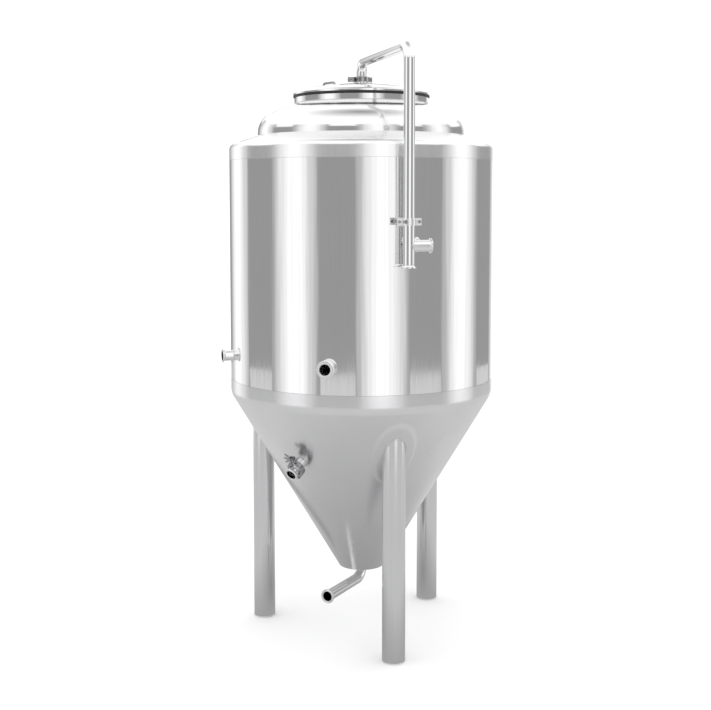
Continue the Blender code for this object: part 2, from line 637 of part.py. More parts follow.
def add_leg(tank, name, azimuth):
    """A tube leg, a doubler plate on the cone above it and a closing plate under it."""
    turn = Matrix.Rotation(azimuth, 4, "Z")
    spot = Matrix.Translation((0, -LEG_CIRCLE, 0))
    top = CONE_TANGENT

    leg = revolved([
        (LEG_RADIUS - LEG_WALL, top), (LEG_RADIUS, top), (LEG_RADIUS, FOOT_THICKNESS + CLEARANCE),
        (LEG_RADIUS - LEG_WALL, FOOT_THICKNESS + CLEARANCE)], FITTING_STEPS)
    leg.transform(spot)
    under = -(PAD_THICKNESS + 2 * CLEARANCE)
    low = CONE_BOTTOM
    high = 2 * top
    above = revolved([(0, high), (cone_line(high, under), high), (cone_line(low, under), low),
                      (0, low)], closed=False)
    leg = boolean(leg, above, "DIFFERENCE")
    place("leg_" + name, leg, BRUSHED, tank, turn)

    pad_top, pad_low = cone_line(top, -PAD_THICKNESS), cone_line(low, -PAD_THICKNESS)
    shell = revolved([
        (cone_line(top, -CLEARANCE), top), (pad_top, top), (pad_low, low),
        (cone_line(low, -CLEARANCE), low)])
    post = revolved([(0, low), (1, low), (1, top), (0, top)], FITTING_STEPS, closed=False)
    along = LEG_RADIUS + PAD_MARGIN * math.cos(CONE_HALF_ANGLE)
    post.transform(spot @ Matrix.Diagonal((LEG_RADIUS + PAD_MARGIN, along, 1, 1)))
    place("leg_pad_" + name, boolean(shell, post, "INTERSECT"), BRUSHED, tank, turn)

    foot = revolved([(0, 0), (LEG_RADIUS - FOOT_CHAMFER, 0), (LEG_RADIUS, FOOT_CHAMFER),
                     (LEG_RADIUS, FOOT_THICKNESS), (0, FOOT_THICKNESS)], FITTING_STEPS, closed=False)
    foot.transform(spot)
    place("foot_plate_" + name, foot, BRUSHED, tank, turn)


def add_side_ports(tank):
    front = union_end(PORT_REACH - VESSEL_RADIUS - CLEARANCE)
    place("front_port", front, POLISHED, tank, radial(PORT_AZIMUTH, PORT_REACH, PORT_HEIGHT))
    length = GLYCOL_REACH - COOLING_RADIUS - CLEARANCE
    place("glycol_inlet", ferrule(length), POLISHED, tank,
          radial(GLYCOL_IN_AZIMUTH, GLYCOL_REACH, PORT_HEIGHT))
    place("glycol_outlet", ferrule(length), POLISHED, tank,
          radial(GLYCOL_OUT_AZIMUTH, GLYCOL_REACH, GLYCOL_OUT_HEIGHT))


def add_cone_port(tank):
    """The port on the cone, square to it, with its clamp and a short open spool."""
    frame = empty("cone_port_axis", parent=tank)
    frame.matrix_local = radial(
        CONE_PORT_AZIMUTH, CONE_PORT_RADIUS, CONE_PORT_HEIGHT,
        CONE_HALF_ANGLE) @ Matrix.Translation((0, 0, CONE_PORT_REACH))
    neck = CONE_PORT_REACH + VESSEL_CONE_INSET - SEAL_HALF - 2 * CLEARANCE
    place("cone_port_neck", ferrule(neck), POLISHED, frame, Matrix.Translation((0, 0, -SEAL_HALF)))
    place("cone_port_seal", seal_ring(), SILICONE, frame)
    place("cone_port_spool", open_spool(CONE_SPOOL), POLISHED, frame,
          Matrix.Translation((0, 0, SEAL_HALF)) @ Matrix.Rotation(math.pi, 4, "X"))
    return frame


def add_outlet(tank):
    """The bottom outlet: down from the vessel, round an elbow and out to its ferrule."""
    depth = VESSEL_CONE_INSET
    throat = CONE_TANGENT + (TUBE_RADIUS - cone_line(CONE_TANGENT, depth)) / math.tan(
        CONE_HALF_ANGLE)
    out = Vector((math.sin(OUTLET_AZIMUTH), -math.cos(OUTLET_AZIMUTH), 0))
    down = Vector((0, 0, OUTLET_HEIGHT))
    reach = OUTLET_REACH - ARM_FERRULE - CLEARANCE
    path = filleted([(0, 0, throat - CLEARANCE), down, down + out * reach], OUTLET_BEND)
    normal = out.cross(Vector((0, 0, 1)))
    place("outlet_pipe", swept(path, normal, TUBE_RADIUS, TUBE_BORE), POLISHED, tank)
    place("outlet_ferrule", ferrule(ARM_FERRULE), POLISHED, tank,
          radial(OUTLET_AZIMUTH, OUTLET_REACH, OUTLET_HEIGHT))


def add_support_bracket(tank):
    """An upright pocket on the jacket, open at its top, that takes the pipe support's tongue."""
    low, high = SUPPORT_HEIGHT - POCKET_BELOW, SUPPORT_HEIGHT + POCKET_ABOVE
    back = -JACKET_RADIUS - CLEARANCE
    inside, front = back - POCKET_WALL, back - POCKET_DEPTH
    outline = [(-POCKET_HALF, back), (POCKET_HALF, back), (POCKET_HALF, front), (POCKET_MOUTH, front),
               (POCKET_MOUTH, inside), (-POCKET_MOUTH, inside), (-POCKET_MOUTH, front),
               (-POCKET_HALF, front)]
    bracket = extruded(outline, low, high)
    floor_half = POCKET_HALF - CLEARANCE
    floor = block((-floor_half, front, low), (floor_half, back, low + POCKET_WALL))
    place("support_bracket", boolean(bracket, floor, "UNION"), BRUSHED, tank)


# ---- the lid and everything that lifts with it --------------------------------------
def add_lid(lid_axis):
    sag = LID_CROWN - LID_DISH_EDGE
    crown = (LID_DISH_RADIUS ** 2 + sag ** 2) / (2 * sag)
    upright = math.pi / 2
    centre = (0, LID_CROWN - crown)

    def dish(radius, edge):
        return arc(centre, radius, upright - math.asin(TUBE_BORE / radius),
                   upright - math.asin(edge / radius), 3)

    face = MANWAY_TOP + GASKET_THICKNESS + CLEARANCE
    rim = GASKET_RADIUS
    profile = [
        *dish(crown, LID_DISH_RADIUS), (rim - LID_RIM_CHAMFER, LID_DISH_EDGE - LID_SHOULDER),
        (rim, LID_DISH_EDGE - LID_RIM_DROP),
        (rim, face), (MANWAY_CLEAR_RADIUS, face),
        *dish(crown - LID_SHEET, LID_DISH_RADIUS - 0.002)[::-1]]
    place("manway_lid", revolved(profile), POLISHED, lid_axis)

    face = TOP_CLAMP_HEIGHT - SEAL_HALF
    foot = centre[1] + math.sqrt(crown ** 2 - TUBE_BORE ** 2) + CLEARANCE
    place("lid_ferrule", ferrule(face - foot), POLISHED, lid_axis, Matrix.Translation((0, 0, face)))
    return centre[1], crown


def add_handle(lid_axis, centre, crown):
    """A bent rod handle, in line with the lid's radius."""
    top = LID_CROWN + HANDLE_RISE

    def surface(radius):
        return centre + math.sqrt(crown ** 2 - radius ** 2) + CLEARANCE

    corners = [(0, -HANDLE_NEAR, surface(HANDLE_NEAR - HANDLE_ROD)), (0, -HANDLE_NEAR, top),
               (0, -HANDLE_FAR, top), (0, -HANDLE_FAR, surface(HANDLE_FAR - HANDLE_ROD))]
    mesh = swept(filleted(corners, HANDLE_BEND), (1, 0, 0), HANDLE_ROD, sides=12)
    place("lid_handle", mesh, POLISHED, lid_axis, Matrix.Rotation(HANDLE_AZIMUTH, 4, "Z"))


def add_spray_ball(lid_axis, lid_top):
    """Cleaning ball on a drop tube under the lid, open at its lower end."""
    top = lid_top - LID_SHEET - 2 * CLEARANCE
    upright = math.pi / 2

    def wall(radius, tube):
        return arc((0, SPRAY_HEIGHT), radius, upright - math.asin(tube / radius),
                   math.asin(SPRAY_MOUTH / radius) - upright, 5)

    bore = SPRAY_TUBE - SPRAY_WALL
    flange = [(bore, top), (SPRAY_FLANGE, top), (SPRAY_FLANGE, top - SPRAY_WALL),
              (SPRAY_TUBE, top - SPRAY_WALL)]
    profile = [*flange, *wall(SPRAY_BALL, SPRAY_TUBE), *wall(SPRAY_BALL - SPRAY_WALL, bore)[::-1]]
    place("spray_ball", revolved(profile, FITTING_STEPS), POLISHED, lid_axis)


def add_arm(lid_axis):
    """Blow-off arm: up from the lid, out over the shoulder and down beside the jacket."""
    start = TOP_CLAMP_HEIGHT + SEAL_HALF + ARM_FERRULE + CLEARANCE
    end = ARM_BOTTOM + ARM_FERRULE + CLEARANCE
    path = filleted([(0, 0, start), (0, 0, ARM_HEIGHT), (0, -ARM_REACH, ARM_HEIGHT),
                     (0, -ARM_REACH, end)], ARM_BEND)
    pipe = swept(path, (1, 0, 0), TUBE_RADIUS, TUBE_BORE)
    hole = rod(TUBE_BORE - 0.001, (0.002, -ARM_REACH, BRANCH_HEIGHT), (0.04, -ARM_REACH, BRANCH_HEIGHT))
    place("blow_off_pipe", boolean(pipe, hole, "DIFFERENCE"), POLISHED, lid_axis)

    up = Matrix.Translation((0, 0, TOP_CLAMP_HEIGHT + SEAL_HALF)) @ Matrix.Rotation(math.pi, 4, "X")
    place("arm_top_ferrule", ferrule(ARM_FERRULE), POLISHED, lid_axis, up)
    down = Matrix.Translation((0, -ARM_REACH, ARM_BOTTOM)) @ Matrix.Rotation(math.pi, 4, "X")
    place("arm_bottom_ferrule", ferrule(ARM_FERRULE), POLISHED, lid_axis, down)

    sideways = Matrix.Translation((BRANCH_REACH, -ARM_REACH, BRANCH_HEIGHT)) @ Matrix.Rotation(
        math.pi / 2, 4, "Y")
    branch = ferrule(BRANCH_REACH)
    branch.transform(sideways)
    saddle = rod(TUBE_RADIUS + CLEARANCE, (0, -ARM_REACH, BRANCH_HEIGHT - 0.05),
                 (0, -ARM_REACH, BRANCH_HEIGHT + 0.05), PIPE_SIDES)
    branch = boolean(branch, saddle, "DIFFERENCE")
    place("arm_branch", largest_part(branch), POLISHED, lid_axis)


def largest_part(mesh):
    """Keep only the piece of a mesh that reaches furthest along +X."""
    work = bmesh.new()
    work.from_mesh(mesh)
    tip = max(work.verts, key=lambda vert: vert.co.x)
    kept, front = {tip}, [tip]
    while front:
        vert = front.pop()
        for edge in vert.link_edges:
            other = edge.other_vert(vert)
            if other not in kept:
                kept.add(other)
                front.append(other)
    bmesh.ops.delete(work, geom=[vert for vert in work.verts if vert not in kept], context="VERTS")
    return finish_mesh(work, "branch")


def support_half(side):
    """One half of the clip round the origin: side is -1 for the front half, 1 for the rear."""
    inner = TUBE_RADIUS + CLEARANCE
    outer = inner + SUPPORT_WALL
    high = SUPPORT_HALF_HEIGHT
    room = 2 * EAR_OUTER
    ring = revolved([(inner, high), (outer, high), (outer, -high), (inner, -high)], 2 * FITTING_STEPS)
    keep = sorted((side * SUPPORT_SPLIT, side * room))
    half = boolean(ring, block((-room, keep[0], -room), (room, keep[1], room)), "INTERSECT")
    for way in (-1, 1):
        across = sorted((way * EAR_INNER, way * EAR_OUTER))
        depth = sorted((side * SUPPORT_SPLIT, side * (SUPPORT_SPLIT + SUPPORT_WALL)))
        ear = block((across[0], depth[0], -high), (across[1], depth[1], high))
        hole = rod(SUPPORT_HOLE, (way * EAR_BOLT, -outer, 0), (way * EAR_BOLT, outer, 0))
        half = boolean(boolean(half, ear, "UNION"), hole, "DIFFERENCE")
    if side < 0:
        screw_hole = rod(SUPPORT_HOLE, (0, -inner + SUPPORT_WALL, 0), (0, -outer - SUPPORT_WALL, 0), 12)
        screw_hole.transform(Matrix.Rotation(SET_SCREW_TURN, 4, "Z"))
        return boolean(half, screw_hole, "DIFFERENCE")
    reach = ARM_REACH - JACKET_RADIUS - TONGUE_GAP
    tongue = block((-TONGUE_HALF, outer - SUPPORT_WALL / 2, -high), (TONGUE_HALF, reach, high))
    return boolean(half, tongue, "UNION")


def add_support(lid_axis):
    """A two-part clip on the blow-off pipe, its rear half with a tongue, and its fasteners."""
    spot = Matrix.Translation((0, -ARM_REACH, SUPPORT_HEIGHT))
    for name, side in (("front", -1), ("rear", 1)):
        half = support_half(side)
        half.transform(spot)
        place("pipe_support_" + name, half, BRUSHED, lid_axis)

    tip = -TUBE_RADIUS - 2 * CLEARANCE
    seat = tip - SUPPORT_WALL
    screw = boolean(rod(SET_SCREW_HEAD, (0, seat - SET_SCREW_HEIGHT, 0), (0, seat, 0)),
                    rod(SUPPORT_SHANK, (0, seat - SUPPORT_WALL / 4, 0), (0, tip, 0), 12), "UNION")
    screw.transform(spot @ Matrix.Rotation(SET_SCREW_TURN, 4, "Z"))
    place("support_set_screw", screw, CAST, lid_axis)

    face = SUPPORT_SPLIT + SUPPORT_WALL + CLEARANCE
    for name, way in (("left", -1), ("right", 1)):
        beside = spot @ Matrix.Translation((way * EAR_BOLT, 0, 0))
        shank = rod(SUPPORT_SHANK, (0, -face - SUPPORT_WALL / 4, 0), (0, face + SUPPORT_BOLT_END, 0), 12)
        head = rod(SUPPORT_HEAD, (0, -face - SUPPORT_HEAD_HEIGHT, 0), (0, -face, 0))
        bolt = boolean(head, shank, "UNION")
        bolt.transform(beside)
        place("support_bolt_" + name, bolt, CAST, lid_axis)
        bore = rod(SUPPORT_SHANK + CLEARANCE, (0, 0, 0), (0, face + 2 * SUPPORT_NUT_HEIGHT, 0), 12)
        nut = rod(SUPPORT_NUT, (0, face, 0), (0, face + SUPPORT_NUT_HEIGHT, 0), 6)
        nut = boolean(nut, bore, "DIFFERENCE")
        nut.transform(beside)
        place("support_nut_" + name, nut, CAST, lid_axis)


def main():
    clear_scene()
    tank = empty("tank_axis", (AXIS_X, AXIS_Y, 0))
    add_shells(tank)
    add_shoulder(tank)
    add_manway(tank)
    for name, azimuth in LEG_AZIMUTHS.items():
        add_leg(tank, name, azimuth)
    add_side_ports(tank)
    add_clamp("cone_clamp", add_cone_port(tank))
    add_outlet(tank)
    add_support_bracket(tank)

    lid_axis = empty("lid_axis", parent=tank)
    lid_centre, lid_crown = add_lid(lid_axis)
    add_handle(lid_axis, lid_centre, lid_crown)
    add_spray_ball(lid_axis, LID_CROWN)
    top_clamp = empty("top_clamp_axis", (0, 0, TOP_CLAMP_HEIGHT), lid_axis)
    place("top_clamp_seal", seal_ring(), SILICONE, top_clamp)
    add_clamp("top_clamp", top_clamp)
    add_arm(lid_axis)
    add_support(lid_axis)


main()
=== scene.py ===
"""Looks of the conical fermenter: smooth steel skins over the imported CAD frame, in a white studio.

Metres, +Z up, in the CAD part's frame. Pieces of the tank are made round its own axis, which
stands at AXIS. An azimuth is measured from the front (-Y), positive towards +X.
"""
import math

import bmesh
import bpy
from mathutils import Matrix, Vector


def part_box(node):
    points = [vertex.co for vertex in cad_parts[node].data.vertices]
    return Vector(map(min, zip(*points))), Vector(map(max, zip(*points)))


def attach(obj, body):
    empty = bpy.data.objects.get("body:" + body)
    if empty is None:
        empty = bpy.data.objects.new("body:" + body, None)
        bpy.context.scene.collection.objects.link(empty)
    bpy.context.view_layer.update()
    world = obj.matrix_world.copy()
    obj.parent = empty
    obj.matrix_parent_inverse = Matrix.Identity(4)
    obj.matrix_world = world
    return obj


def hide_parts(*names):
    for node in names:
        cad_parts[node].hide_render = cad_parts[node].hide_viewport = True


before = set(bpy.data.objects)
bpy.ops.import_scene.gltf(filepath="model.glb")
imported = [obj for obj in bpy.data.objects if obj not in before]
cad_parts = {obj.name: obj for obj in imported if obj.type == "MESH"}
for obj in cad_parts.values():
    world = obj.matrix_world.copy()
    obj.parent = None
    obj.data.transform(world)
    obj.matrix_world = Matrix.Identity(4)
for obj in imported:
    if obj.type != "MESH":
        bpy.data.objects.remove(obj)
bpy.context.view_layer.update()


def span(node):
    """A CAD node's box as its centre, half its width along X, its lowest and highest point."""
    low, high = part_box(node)
    return (low + high) / 2, (high.x - low.x) / 2, low.z, high.z


# ---- dimensions: places from the CAD nodes, shapes as in the CAD part ------------------
centre, JACKET_RADIUS, JACKET_BOTTOM, JACKET_TOP = span("jacket_shell")
AXIS = Vector((centre.x, centre.y, 0))
AT_AXIS = Matrix.Translation(AXIS)
HERE = Matrix()
CLEARANCE = 0.0003
SHEET = 0.0025

SHOULDER_TOP = span("top_shoulder")[3]
SHOULDER_BEND = 0.022
SHOULDER_SLOPE = math.radians(19)

CONE_BOTTOM = span("cone_cladding")[2]
CONE_TANGENT = span("cone_insulation")[3] + CLEARANCE
CONE_HALF_ANGLE = math.radians(31)
CONE_KNUCKLE = 0.060
CONE_INSULATION = 0.070

VESSEL_RADIUS = span("inner_vessel")[1]
VESSEL_SHEET = 0.003
HEAD_KNUCKLE = 0.1 * 2 * VESSEL_RADIUS
HEAD_CROWN = 2 * VESSEL_RADIUS
HEAD_TANGENT = 1.829

MANWAY_RADIUS = span("manway_collar")[1]
MANWAY_TOP = span("manway_collar")[3]
MANWAY_WALL = 0.004
MANWAY_CLEAR_RADIUS = 0.228
MANWAY_LIP = 0.006
GASKET_RADIUS = span("manway_gasket")[1]
LID_CROWN = span("manway_lid")[3]
LID_DISH_RADIUS = 0.222
LID_DISH_EDGE = 1.983
LID_SHEET = 0.003
LID_SHOULDER = 0.0085
LID_RIM_DROP = 0.013
HANDLE_AZIMUTH = math.radians(-155)
HANDLE_NEAR = 0.148
HANDLE_FAR = 0.214
HANDLE_RISE = 0.019
HANDLE_ROD = 0.005
HANDLE_BEND = 0.012

leg_centre, LEG_RADIUS, LEG_BOTTOM, LEG_TOP = span("leg_front")
LEG_CIRCLE = AXIS.y - leg_centre.y
LEG_WALL = 0.003
PAD_THICKNESS = 0.003
PAD_MARGIN = 0.032
FOOT_THICKNESS = span("foot_plate_front")[3]
LEG_AZIMUTHS = {"front": 0.0, "right": math.radians(120), "left": math.radians(-120)}

TUBE_RADIUS = 0.01905
TUBE_BORE = 0.0174
FLANGE_RADIUS = 0.02525
SEAL_HALF = 0.00095
GROOVE_CENTRE = 0.0218
GROOVE_RADIUS = 0.0013
FERRULE_LENGTH = 0.0127

TOP_CLAMP_HEIGHT = (span("top_clamp_seal")[2] + span("top_clamp_seal")[3]) / 2
ARM_HEIGHT = span("blow_off_pipe")[3] - TUBE_RADIUS
ARM_REACH = AXIS.y - span("arm_bottom_ferrule")[0].y
ARM_BOTTOM = span("arm_bottom_ferrule")[2]
ARM_BEND = 0.045
BRANCH_HEIGHT = span("arm_branch")[0].z
BRANCH_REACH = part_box("arm_branch")[1].x - AXIS.x
SUPPORT_HEIGHT = span("pipe_support_front")[0].z
SUPPORT_HALF_HEIGHT = 0.012
SUPPORT_WALL = 0.004
EAR_INNER = 0.020
EAR_OUTER = 0.042
EAR_BOLT = 0.034
SET_SCREW_TURN = math.radians(-40)
SUPPORT_SPLIT = 0.0005
SUPPORT_SHANK = 0.0030
SUPPORT_HEAD = 0.0056
SUPPORT_HEAD_HEIGHT = 0.0045
SUPPORT_NUT = 0.0058
SUPPORT_NUT_HEIGHT = 0.005
SUPPORT_BOLT_END = 0.008
SET_SCREW_HEAD = 0.0065
SET_SCREW_HEIGHT = 0.0035
SET_SCREW_SOCKET = 0.0030
TONGUE_HALF = 0.0082
TONGUE_GAP = 0.0045
POCKET_HALF = 0.015
POCKET_MOUTH = 0.0088
POCKET_DEPTH = 0.014
POCKET_WALL = 0.003

PORT_AZIMUTH = math.radians(-30.5)
PORT_HEIGHT = span("front_port")[0].z
PORT_REACH = 0.511
UNION_RADIUS = 0.0295
UNION_CREST = 0.0010
UNION_LENGTH = 0.0140
UNION_BACK = 0.0200
UNION_BORE = 0.0187
UNION_SEAT = 0.0150
UNION_THREADS = 3
GLYCOL_IN_AZIMUTH = math.radians(-90)
GLYCOL_OUT_AZIMUTH = math.radians(150)
GLYCOL_OUT_HEIGHT = span("glycol_outlet")[0].z
GLYCOL_REACH = AXIS.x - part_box("glycol_inlet")[0].x
COOLING_RADIUS = span("cooling_jacket")[1]

CONE_PORT_AZIMUTH = math.radians(-52.5)
CONE_PORT_HEIGHT = 0.682
CONE_PORT_REACH = 0.036
CONE_SPOOL = 0.033
CONE_PORT_WALL = 0.42

OUTLET_AZIMUTH = math.radians(-45)
OUTLET_HEIGHT = span("outlet_ferrule")[0].z
OUTLET_REACH = 0.258
OUTLET_BEND = 0.040

# half the thickness of each weld's bead
TUBE_WELD = 0.0007
FOOT_WELD = 0.0010
HANDLE_WELD = 0.0011
LID_WELD = 0.0012
CAP_WELD = 0.0014
PORT_WELD = 0.0015
NECK_WELD = 0.0016
CONE_PORT_WELD = 0.0017
LEG_WELD = 0.0024

# where cutting rods start and end
WALL_CUT = (0.30, 0.60)
CONE_CUT = (-0.12, 0.05)
BRANCH_CUT = (0.002, 0.04)
SADDLE_CUT = 0.05
BRANCH_FOOT = 0.008

SHELL_STEPS = 192
FITTING_STEPS = 64
PIPE_SIDES = 48
BEAD_SIDES = 10
JACKET_BANDS = 24


# ---- mesh tools -------------------------------------------------------------------------
def shift(x, y, z):
    return Matrix.Translation((x, y, z))


def placed(name, data):
    item = bpy.data.objects.new(name, data)
    bpy.context.scene.collection.objects.link(item)
    return item


def turns(count):
    """The cosine and sine of equal steps round a circle."""
    angles = [2 * math.pi * step / count for step in range(count)]
    return [(math.cos(angle), math.sin(angle)) for angle in angles]


def bridge(work, near, far):
    """Faces between two closed rings of as many points."""
    for step in range(len(near)):
        after = (step + 1) % len(near)
        work.faces.new((near[step], near[after], far[after], far[step]))


def to_mesh(work):
    bmesh.ops.recalc_face_normals(work, faces=work.faces)
    mesh = bpy.data.meshes.new("mesh")
    work.to_mesh(mesh)
    work.free()
    return mesh


def dressed(mesh, wanted):
    """Set a mesh's normals: wanted(face normal, point) gives one, or None to stay flat."""
    normals = []
    for face in mesh.polygons:
        flat = face.normal.copy()
        for corner in face.loop_indices:
            point = mesh.vertices[mesh.loops[corner].vertex_index].co
            normals.append(wanted(flat, point) or flat)
    mesh.shade_smooth()
    mesh.normals_split_custom_set(normals)
    return mesh


def outline_edges(outline):
    """Each edge of a closed outline with the smooth normal at both its ends."""
    points = [Vector(point) for point in outline]
    edges = list(zip(points, points[1:] + points[:1]))
    across = [Vector(((end - start).y, (start - end).x)) for start, end in edges]
    made = []
    for index, (start, end) in enumerate(edges):
        own = across[index]
        ends = []
        for other in (across[index - 1], across[(index + 1) % len(edges)]):
            smooth = own.length > 0 and other.length > 0 and own.angle(other) < math.radians(35)
            ends.append((own + other).normalized() if smooth else own.normalized())
        made.append((start, end, own.normalized(), ends))
    return made


def turned_normals(outline):
    """The wanted() of a shape turned about Z from a closed (radius, height) outline."""
    edges = outline_edges(outline)
    known = {}

    def look_up(spot, flat):
        best, found = 0.002, None
        for start, end, own, ends in edges:
            facing = own.dot(flat)
            if abs(facing) < 0.9:
                continue
            run = end - start
            share = max(0.0, min(1.0, (spot - start).dot(run) / run.length_squared))
            away = (spot - start - run * share).length
            if away < best:
                best, found = away, ends[0].lerp(ends[1], share).normalized() * math.copysign(1, facing)
        return found

    def wanted(face_normal, point):
        radius = math.hypot(point.x, point.y)
        if radius < 1e-6:
            return None
        out = Vector((point.x / radius, point.y / radius))
        flat = Vector((face_normal.x * out.x + face_normal.y * out.y, face_normal.z))
        key = (round(radius, 5), round(point.z, 5), round(flat.x, 2), round(flat.y, 2))
        if key not in known:
            known[key] = look_up(Vector((radius, point.z)), flat)
        turned_one = known[key]
        if turned_one is None:
            return None
        return Vector((turned_one.x * out.x, turned_one.x * out.y, turned_one.y))
    return wanted


def turned(outline, steps=FITTING_STEPS, cutters=()):
    """A closed (radius, height) outline turned about Z, with holes cut through it."""
    work = bmesh.new()
    rings = [[work.verts.new((radius * x, radius * y, height)) for radius, height in outline]
             for x, y in turns(steps)]
    for near, far in zip(rings, rings[1:] + rings[:1]):
        for index in range(len(outline)):
            after = (index + 1) % len(outline)
            work.faces.new((near[index], far[index], far[after], near[after]))
    bmesh.ops.remove_doubles(work, verts=work.verts, dist=1e-7)
    mesh = to_mesh(work)
    for cutter in cutters:
        mesh = boolean(mesh, cutter, "DIFFERENCE")
    return dressed(mesh, turned_normals(outline))


def rounded(corners, steps=3):
    """A closed outline from corners of (radius, height) or (radius, height, fillet)."""
    outline = []
    for index, corner in enumerate(corners):
        spot = Vector(corner[:2])
        fillet = corner[2] if len(corner) > 2 else 0.0
        back = Vector(corners[index - 1][:2]) - spot
        ahead = Vector(corners[(index + 1) % len(corners)][:2]) - spot
        if fillet == 0.0:
            outline.append(spot)
            continue
        reach = fillet / math.tan(back.angle(ahead) / 2)
        start = spot + back.normalized() * min(reach, 0.49 * back.length)
        end = spot + ahead.normalized() * min(reach, 0.49 * ahead.length)
        for step in range(steps + 1):
            share = step / steps
            outline.append(start.lerp(spot, share).lerp(spot.lerp(end, share), share))
    return [tuple(point) for point in outline]


def arc(middle, radius, start, end, count):
    """Points on an arc in the (radius, height) plane, angles from the +radius direction."""
    angles = [start + (end - start) * step / count for step in range(count + 1)]
    return [(middle[0] + radius * math.cos(a), middle[1] + radius * math.sin(a)) for a in angles]


def filleted(corners, radius, steps=10):
    """A planar path through corners, with every inner corner rounded to radius."""
    path = [Vector(corners[0])]
    for before, corner, after in zip(corners, corners[1:], corners[2:]):
        corner = Vector(corner)
        back = (Vector(before) - corner).normalized()
        onward = (Vector(after) - corner).normalized()
        half = back.angle(onward) / 2
        middle = corner + (back + onward).normalized() * radius / math.sin(half)
        start = corner + back * radius / math.tan(half) - middle
        axis = start.cross(corner - middle)
        sweep = math.pi - 2 * half
        for step in range(steps + 1):
            path.append(middle + Matrix.Rotation(sweep * step / steps, 3, axis) @ start)
    path.append(Vector(corners[-1]))
    return path


def tube_normals(path):
    """The wanted() of a round bar or tube along a path."""
    def wanted(face_normal, point):
        best, out = 1.0, None
        for start, end in zip(path, path[1:]):
            run = end - start
            share = max(0.0, min(1.0, (point - start).dot(run) / run.length_squared))
            away = point - start - run * share
            if away.length < best:
                best, out = away.length, away
        if out is None or out.length < 1e-6:
            return None
        out = out.normalized()
        facing = out.dot(face_normal)
        return out * math.copysign(1, facing) if abs(facing) > 0.8 else None
    return wanted


def swept(path, normal, outer, inner=None, sides=PIPE_SIDES, cutter=None):
    """A round bar, or a tube if inner is given, along a path in the plane of normal."""
    work = bmesh.new()
    side = Vector(normal).normalized()
    rings = {radius: [] for radius in (outer, inner) if radius}
    for index, point in enumerate(path):
        ahead = path[min(index + 1, len(path) - 1)] - point
        behind = point - path[max(index - 1, 0)]
        tangent = (ahead.normalized() + behind.normalized()).normalized()
        across = tangent.cross(side)
        for radius, made in rings.items():
            made.append([work.verts.new(point + radius * (x * side + y * across))
                         for x, y in turns(sides)])
    for made in rings.values():
        for low, high in zip(made, made[1:]):
            bridge(work, low, high)
    for end in (0, -1):
        if inner:
            bridge(work, rings[outer][end], rings[inner][end])
        else:
            work.faces.new(rings[outer][end])
    mesh = to_mesh(work)
    if cutter:
        mesh = boolean(mesh, cutter, "DIFFERENCE")
    return dressed(mesh, tube_normals(path))


def bead(path, size, ripple=0.0042):
    """A closed weld bead along a path, with the ripples the weld pool leaves."""
    work = bmesh.new()
    rings = []
    count = len(path)
    middle = sum(path, Vector()) / count
    travelled = 0.0
    for index, point in enumerate(path):
        tangent = (path[(index + 1) % count] - path[index - 1]).normalized()
        side = tangent.cross(point - middle).normalized()
        across = tangent.cross(side)
        swell = size * (1 + 0.10 * math.cos(2 * math.pi * travelled / ripple))
        rings.append([work.verts.new(point + swell * (x * side + y * across))
                      for x, y in turns(BEAD_SIDES)])
        travelled += (path[(index + 1) % count] - point).length
    for near, far in zip(rings, rings[1:] + rings[:1]):
        bridge(work, near, far)
    mesh = to_mesh(work)
    mesh.shade_smooth()
    return mesh


def extruded(outline, low, high):
    """A plate between two heights, from an outline in the XY plane."""
    work = bmesh.new()
    bottom = work.faces.new([work.verts.new((x, y, low)) for x, y in outline])
    top = bmesh.ops.extrude_face_region(work, geom=[bottom])["geom"]
    moved = [item for item in top if isinstance(item, bmesh.types.BMVert)]
    bmesh.ops.translate(work, verts=moved, vec=(0, 0, high - low))
    return to_mesh(work)


def block(low, high):
    outline = [(low[0], low[1]), (high[0], low[1]), (high[0], high[1]), (low[0], high[1])]
    return extruded(outline, low[2], high[2])


def rod(radius, start, end, steps=32):
    """A solid round bar between two points."""
    start, end = Vector(start), Vector(end)
    mesh = extruded([(radius * x, radius * y) for x, y in turns(steps)], 0, (end - start).length)
    turn = Vector((0, 0, 1)).rotation_difference(end - start).to_matrix().to_4x4()
    mesh.transform(Matrix.Translation(start) @ turn)
    return mesh


def boolean(base, tool, operation):
    """A new mesh: base with tool cut away (DIFFERENCE), joined on (UNION) or INTERSECT."""
    base_object = placed("base", base)
    tool_object = placed("tool", tool)
    modifier = base_object.modifiers.new("boolean", "BOOLEAN")
    modifier.operation = operation
    modifier.solver = "EXACT"
    modifier.object = tool_object
    shapes = bpy.context.evaluated_depsgraph_get()
    result = bpy.data.meshes.new_from_object(base_object.evaluated_get(shapes))
    for item in (base_object, tool_object):
        bpy.data.objects.remove(item, do_unlink=True)
    return result


def radial(azimuth, radius, height, dip=0.0):
    """A frame on the tank, its +Z pointing outward at azimuth, turned down by dip."""
    spin = Matrix.Rotation(azimuth - math.pi / 2, 4, "Z")
    lean = Matrix.Rotation(math.pi / 2 + dip, 4, "Y")
    spot = Vector((math.sin(azimuth) * radius, -math.cos(azimuth) * radius, height))
    return Matrix.Translation(spot) @ spin @ lean


